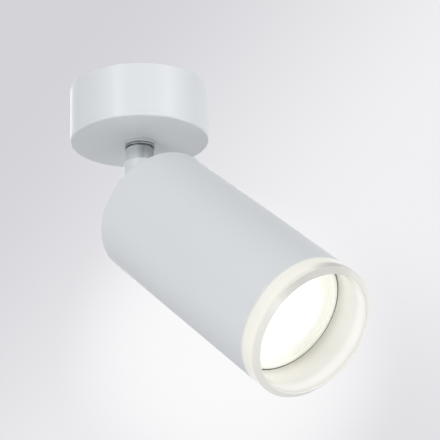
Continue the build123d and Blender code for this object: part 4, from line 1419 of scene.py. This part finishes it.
@dataclass
class Studio:
    """Camera, floor, soft light and pale background.

    The camera and the backdrop are results of fits to the photograph, and the lights'
    strengths began from one and were then partly changed.
    """

    aim: tuple[float, float, float] = (48.33, -2.57, -73.68)
    azimuth: float = 42.92
    elevation: float = -20.02
    roll: float = -1.94
    distance: float = 702.7
    focal_length: float = 141.95
    floor_level: float = -1000.0
    floor_size: float = 12000.0
    floor_tones: tuple[Tone, Tone] = ((0.94, 0.94, 0.955), (0.96, 0.96, 0.97))
    floor_shine: Tone = (0.90, 0.90, 0.92)
    floor_glow: float = 0.28
    light_distance: float = 1200.0
    softboxes: tuple[Softbox, ...] = (
        Softbox("left_strip", 9.0, 20.0, 0.2, 3.56),
        Softbox("right_strip", 94.0, 20.0, 0.2, 3.1),
        Softbox("right", 120.0, 20.0, 0.5, 0.8),
        Softbox("low_left", 0.0, -30.0, 0.5, 3.1),
        Softbox("low_front", 60.0, -30.0, 0.5, 1.3),
        Softbox("low_right", 120.0, -30.0, 0.5, 2.6),
        Softbox("back", 180.0, 30.0, 0.9, 0.5),
        Softbox("back_left", 240.0, 30.0, 0.9, 4.0),
    )
    fill: float = 0.5
    backdrop_slope: float = -39.0
    backdrop_run: tuple[float, float] = (-1.1, 0.49)
    backdrop_low: Tone = (0.83, 0.827, 0.847)
    backdrop_high: Tone = (0.944, 0.942, 0.952)
    glows: tuple[Glow, ...] = (
        Glow(0.61, -1.6, 1.6, (0.881, 0.878, 0.892)),
        Glow(0.05, -0.63, 0.82, (0.98, 0.979, 0.984)),
    )

    def set_up(self) -> None:
        """Set the view, the camera, the lights and what lies behind the spotlight."""
        bpy.context.scene.view_settings.view_transform = "Standard"
        self.camera()
        for softbox in self.softboxes:
            self.light(softbox)
        self.floor()
        self.world()

    def direction(self, azimuth: float, elevation: float) -> Vector:
        """Direction from the spotlight towards a viewer at these angles, in degrees."""
        turn, rise = math.radians(azimuth), math.radians(elevation)
        return Vector((math.sin(turn) * math.cos(rise), -math.cos(turn) * math.cos(rise), math.sin(rise)))

    def facing(self, place: Vector) -> Matrix:
        """Place of a camera or light that looks at the aim."""
        look = (Vector(self.aim) * MM - place).to_track_quat("-Z", "Y")
        return Matrix.Translation(place) @ look.to_matrix().to_4x4()

    def put(self, name: str, data: bpy.types.ID, place: Matrix) -> Piece:
        """Put a camera or a light in the scene."""
        thing = bpy.data.objects.new(name, data)
        bpy.context.scene.collection.objects.link(thing)
        thing.matrix_world = place
        return thing

    def camera(self) -> None:
        """Camera at the photograph's angle."""
        lens = bpy.data.cameras.new("camera")
        lens.lens = self.focal_length
        reach = self.direction(self.azimuth, self.elevation) * self.distance * MM
        roll = Matrix.Rotation(math.radians(self.roll), 4, "Z")
        place = self.facing(Vector(self.aim) * MM + reach) @ roll
        bpy.context.scene.camera = self.put("camera", lens, place)

    def light(self, softbox: Softbox) -> None:
        """One soft light."""
        lamp = bpy.data.lights.new(softbox.name, "AREA")
        lamp.shape = "DISK"
        lamp.size = softbox.size
        lamp.energy = softbox.watts
        reach = self.direction(softbox.azimuth, softbox.elevation) * self.light_distance * MM
        self.put(softbox.name, lamp, self.facing(Vector(self.aim) * MM + reach))

    def floor(self) -> None:
        """Plain pale floor far below."""
        pick()
        bpy.ops.mesh.primitive_plane_add(size=self.floor_size * MM,
                                         location=(0, 0, self.floor_level * MM))
        floor = named("studio_floor")
        recipe = Recipe("pale_floor")
        first, second = (linear(tone) for tone in self.floor_tones)
        recipe.drive("Base Color", recipe.blend(recipe.cloud(0.8), first, second))
        recipe.fix({"Roughness": 0.8, "Emission Color": linear(self.floor_shine)})
        seen = recipe.add("ShaderNodeLightPath").outputs["Is Camera Ray"]
        recipe.drive("Emission Strength", recipe.calculate("MULTIPLY", seen, self.floor_glow))
        floor.data.materials.append(recipe.material)

    def world(self) -> None:
        """Plain fill light, with a pale graded background where the camera looks past the piece."""
        world = bpy.data.worlds.new("studio")
        world.use_nodes = True
        bpy.context.scene.world = world
        graph = Graph(world.node_tree)
        rays = graph.add("ShaderNodeLightPath").outputs
        others = graph.calculate("MAXIMUM", rays["Is Glossy Ray"], rays["Is Transmission Ray"])
        seen = graph.calculate("MAXIMUM", rays["Is Camera Ray"], others)
        fill = graph.add("ShaderNodeBackground")
        fill.inputs["Strength"].default_value = self.fill
        shown = graph.add("ShaderNodeBackground")
        graph.link(self.backdrop(graph), shown.inputs["Color"])
        mix = graph.add("ShaderNodeMixShader")
        graph.feed(mix.inputs, (seen, fill.outputs["Background"], shown.outputs["Background"]))
        output = graph.add("ShaderNodeOutputWorld")
        graph.link(mix.outputs["Shader"], output.inputs["Surface"])

    def backdrop(self, graph: Graph) -> Socket:
        """Run of tone across the background, with its soft patches.

        Args:
            graph: nodes of the world.

        Returns:
            The colour socket.
        """
        look = graph.add("ShaderNodeTexCoord").outputs["Generated"]
        half = HALF_SENSOR / self.focal_length
        view = bpy.context.scene.camera.matrix_world.to_3x3()
        slope = math.radians(self.backdrop_slope)
        across = view @ Vector((math.cos(slope), math.sin(slope), 0))
        runs = [(across, self.backdrop_run[0] * half, self.backdrop_run[1] * half, self.backdrop_high)]
        for glow in self.glows:
            middle = view @ Vector((glow.across * half, glow.up * half, -1)).normalized()
            runs.append((middle, math.cos(math.atan(glow.reach * half)), 1.0, glow.tone))
        colour = linear(self.backdrop_low)
        for axis, start, end, tone in runs:
            turn = graph.vector("DOT_PRODUCT", look, axis).outputs["Value"]
            share = graph.spread(turn, start, end, interpolation_type="SMOOTHSTEP")
            colour = graph.blend(share, colour, linear(tone))
        return colour


def main() -> None:
    """Build the studio and every sub-assembly of the spotlight, in order."""
    logging.basicConfig(level=logging.INFO, format="%(name)s: %(message)s", force=True)
    Studio().set_up()
    for assembly in (CeilingCup(), MountingPlate(), SwivelStem(), TiltPivot(), HeadShell(), Lamp()):
        log.info("building %s", type(assembly).__name__)
        assembly.build()


if __name__ == "__main__":
    main()
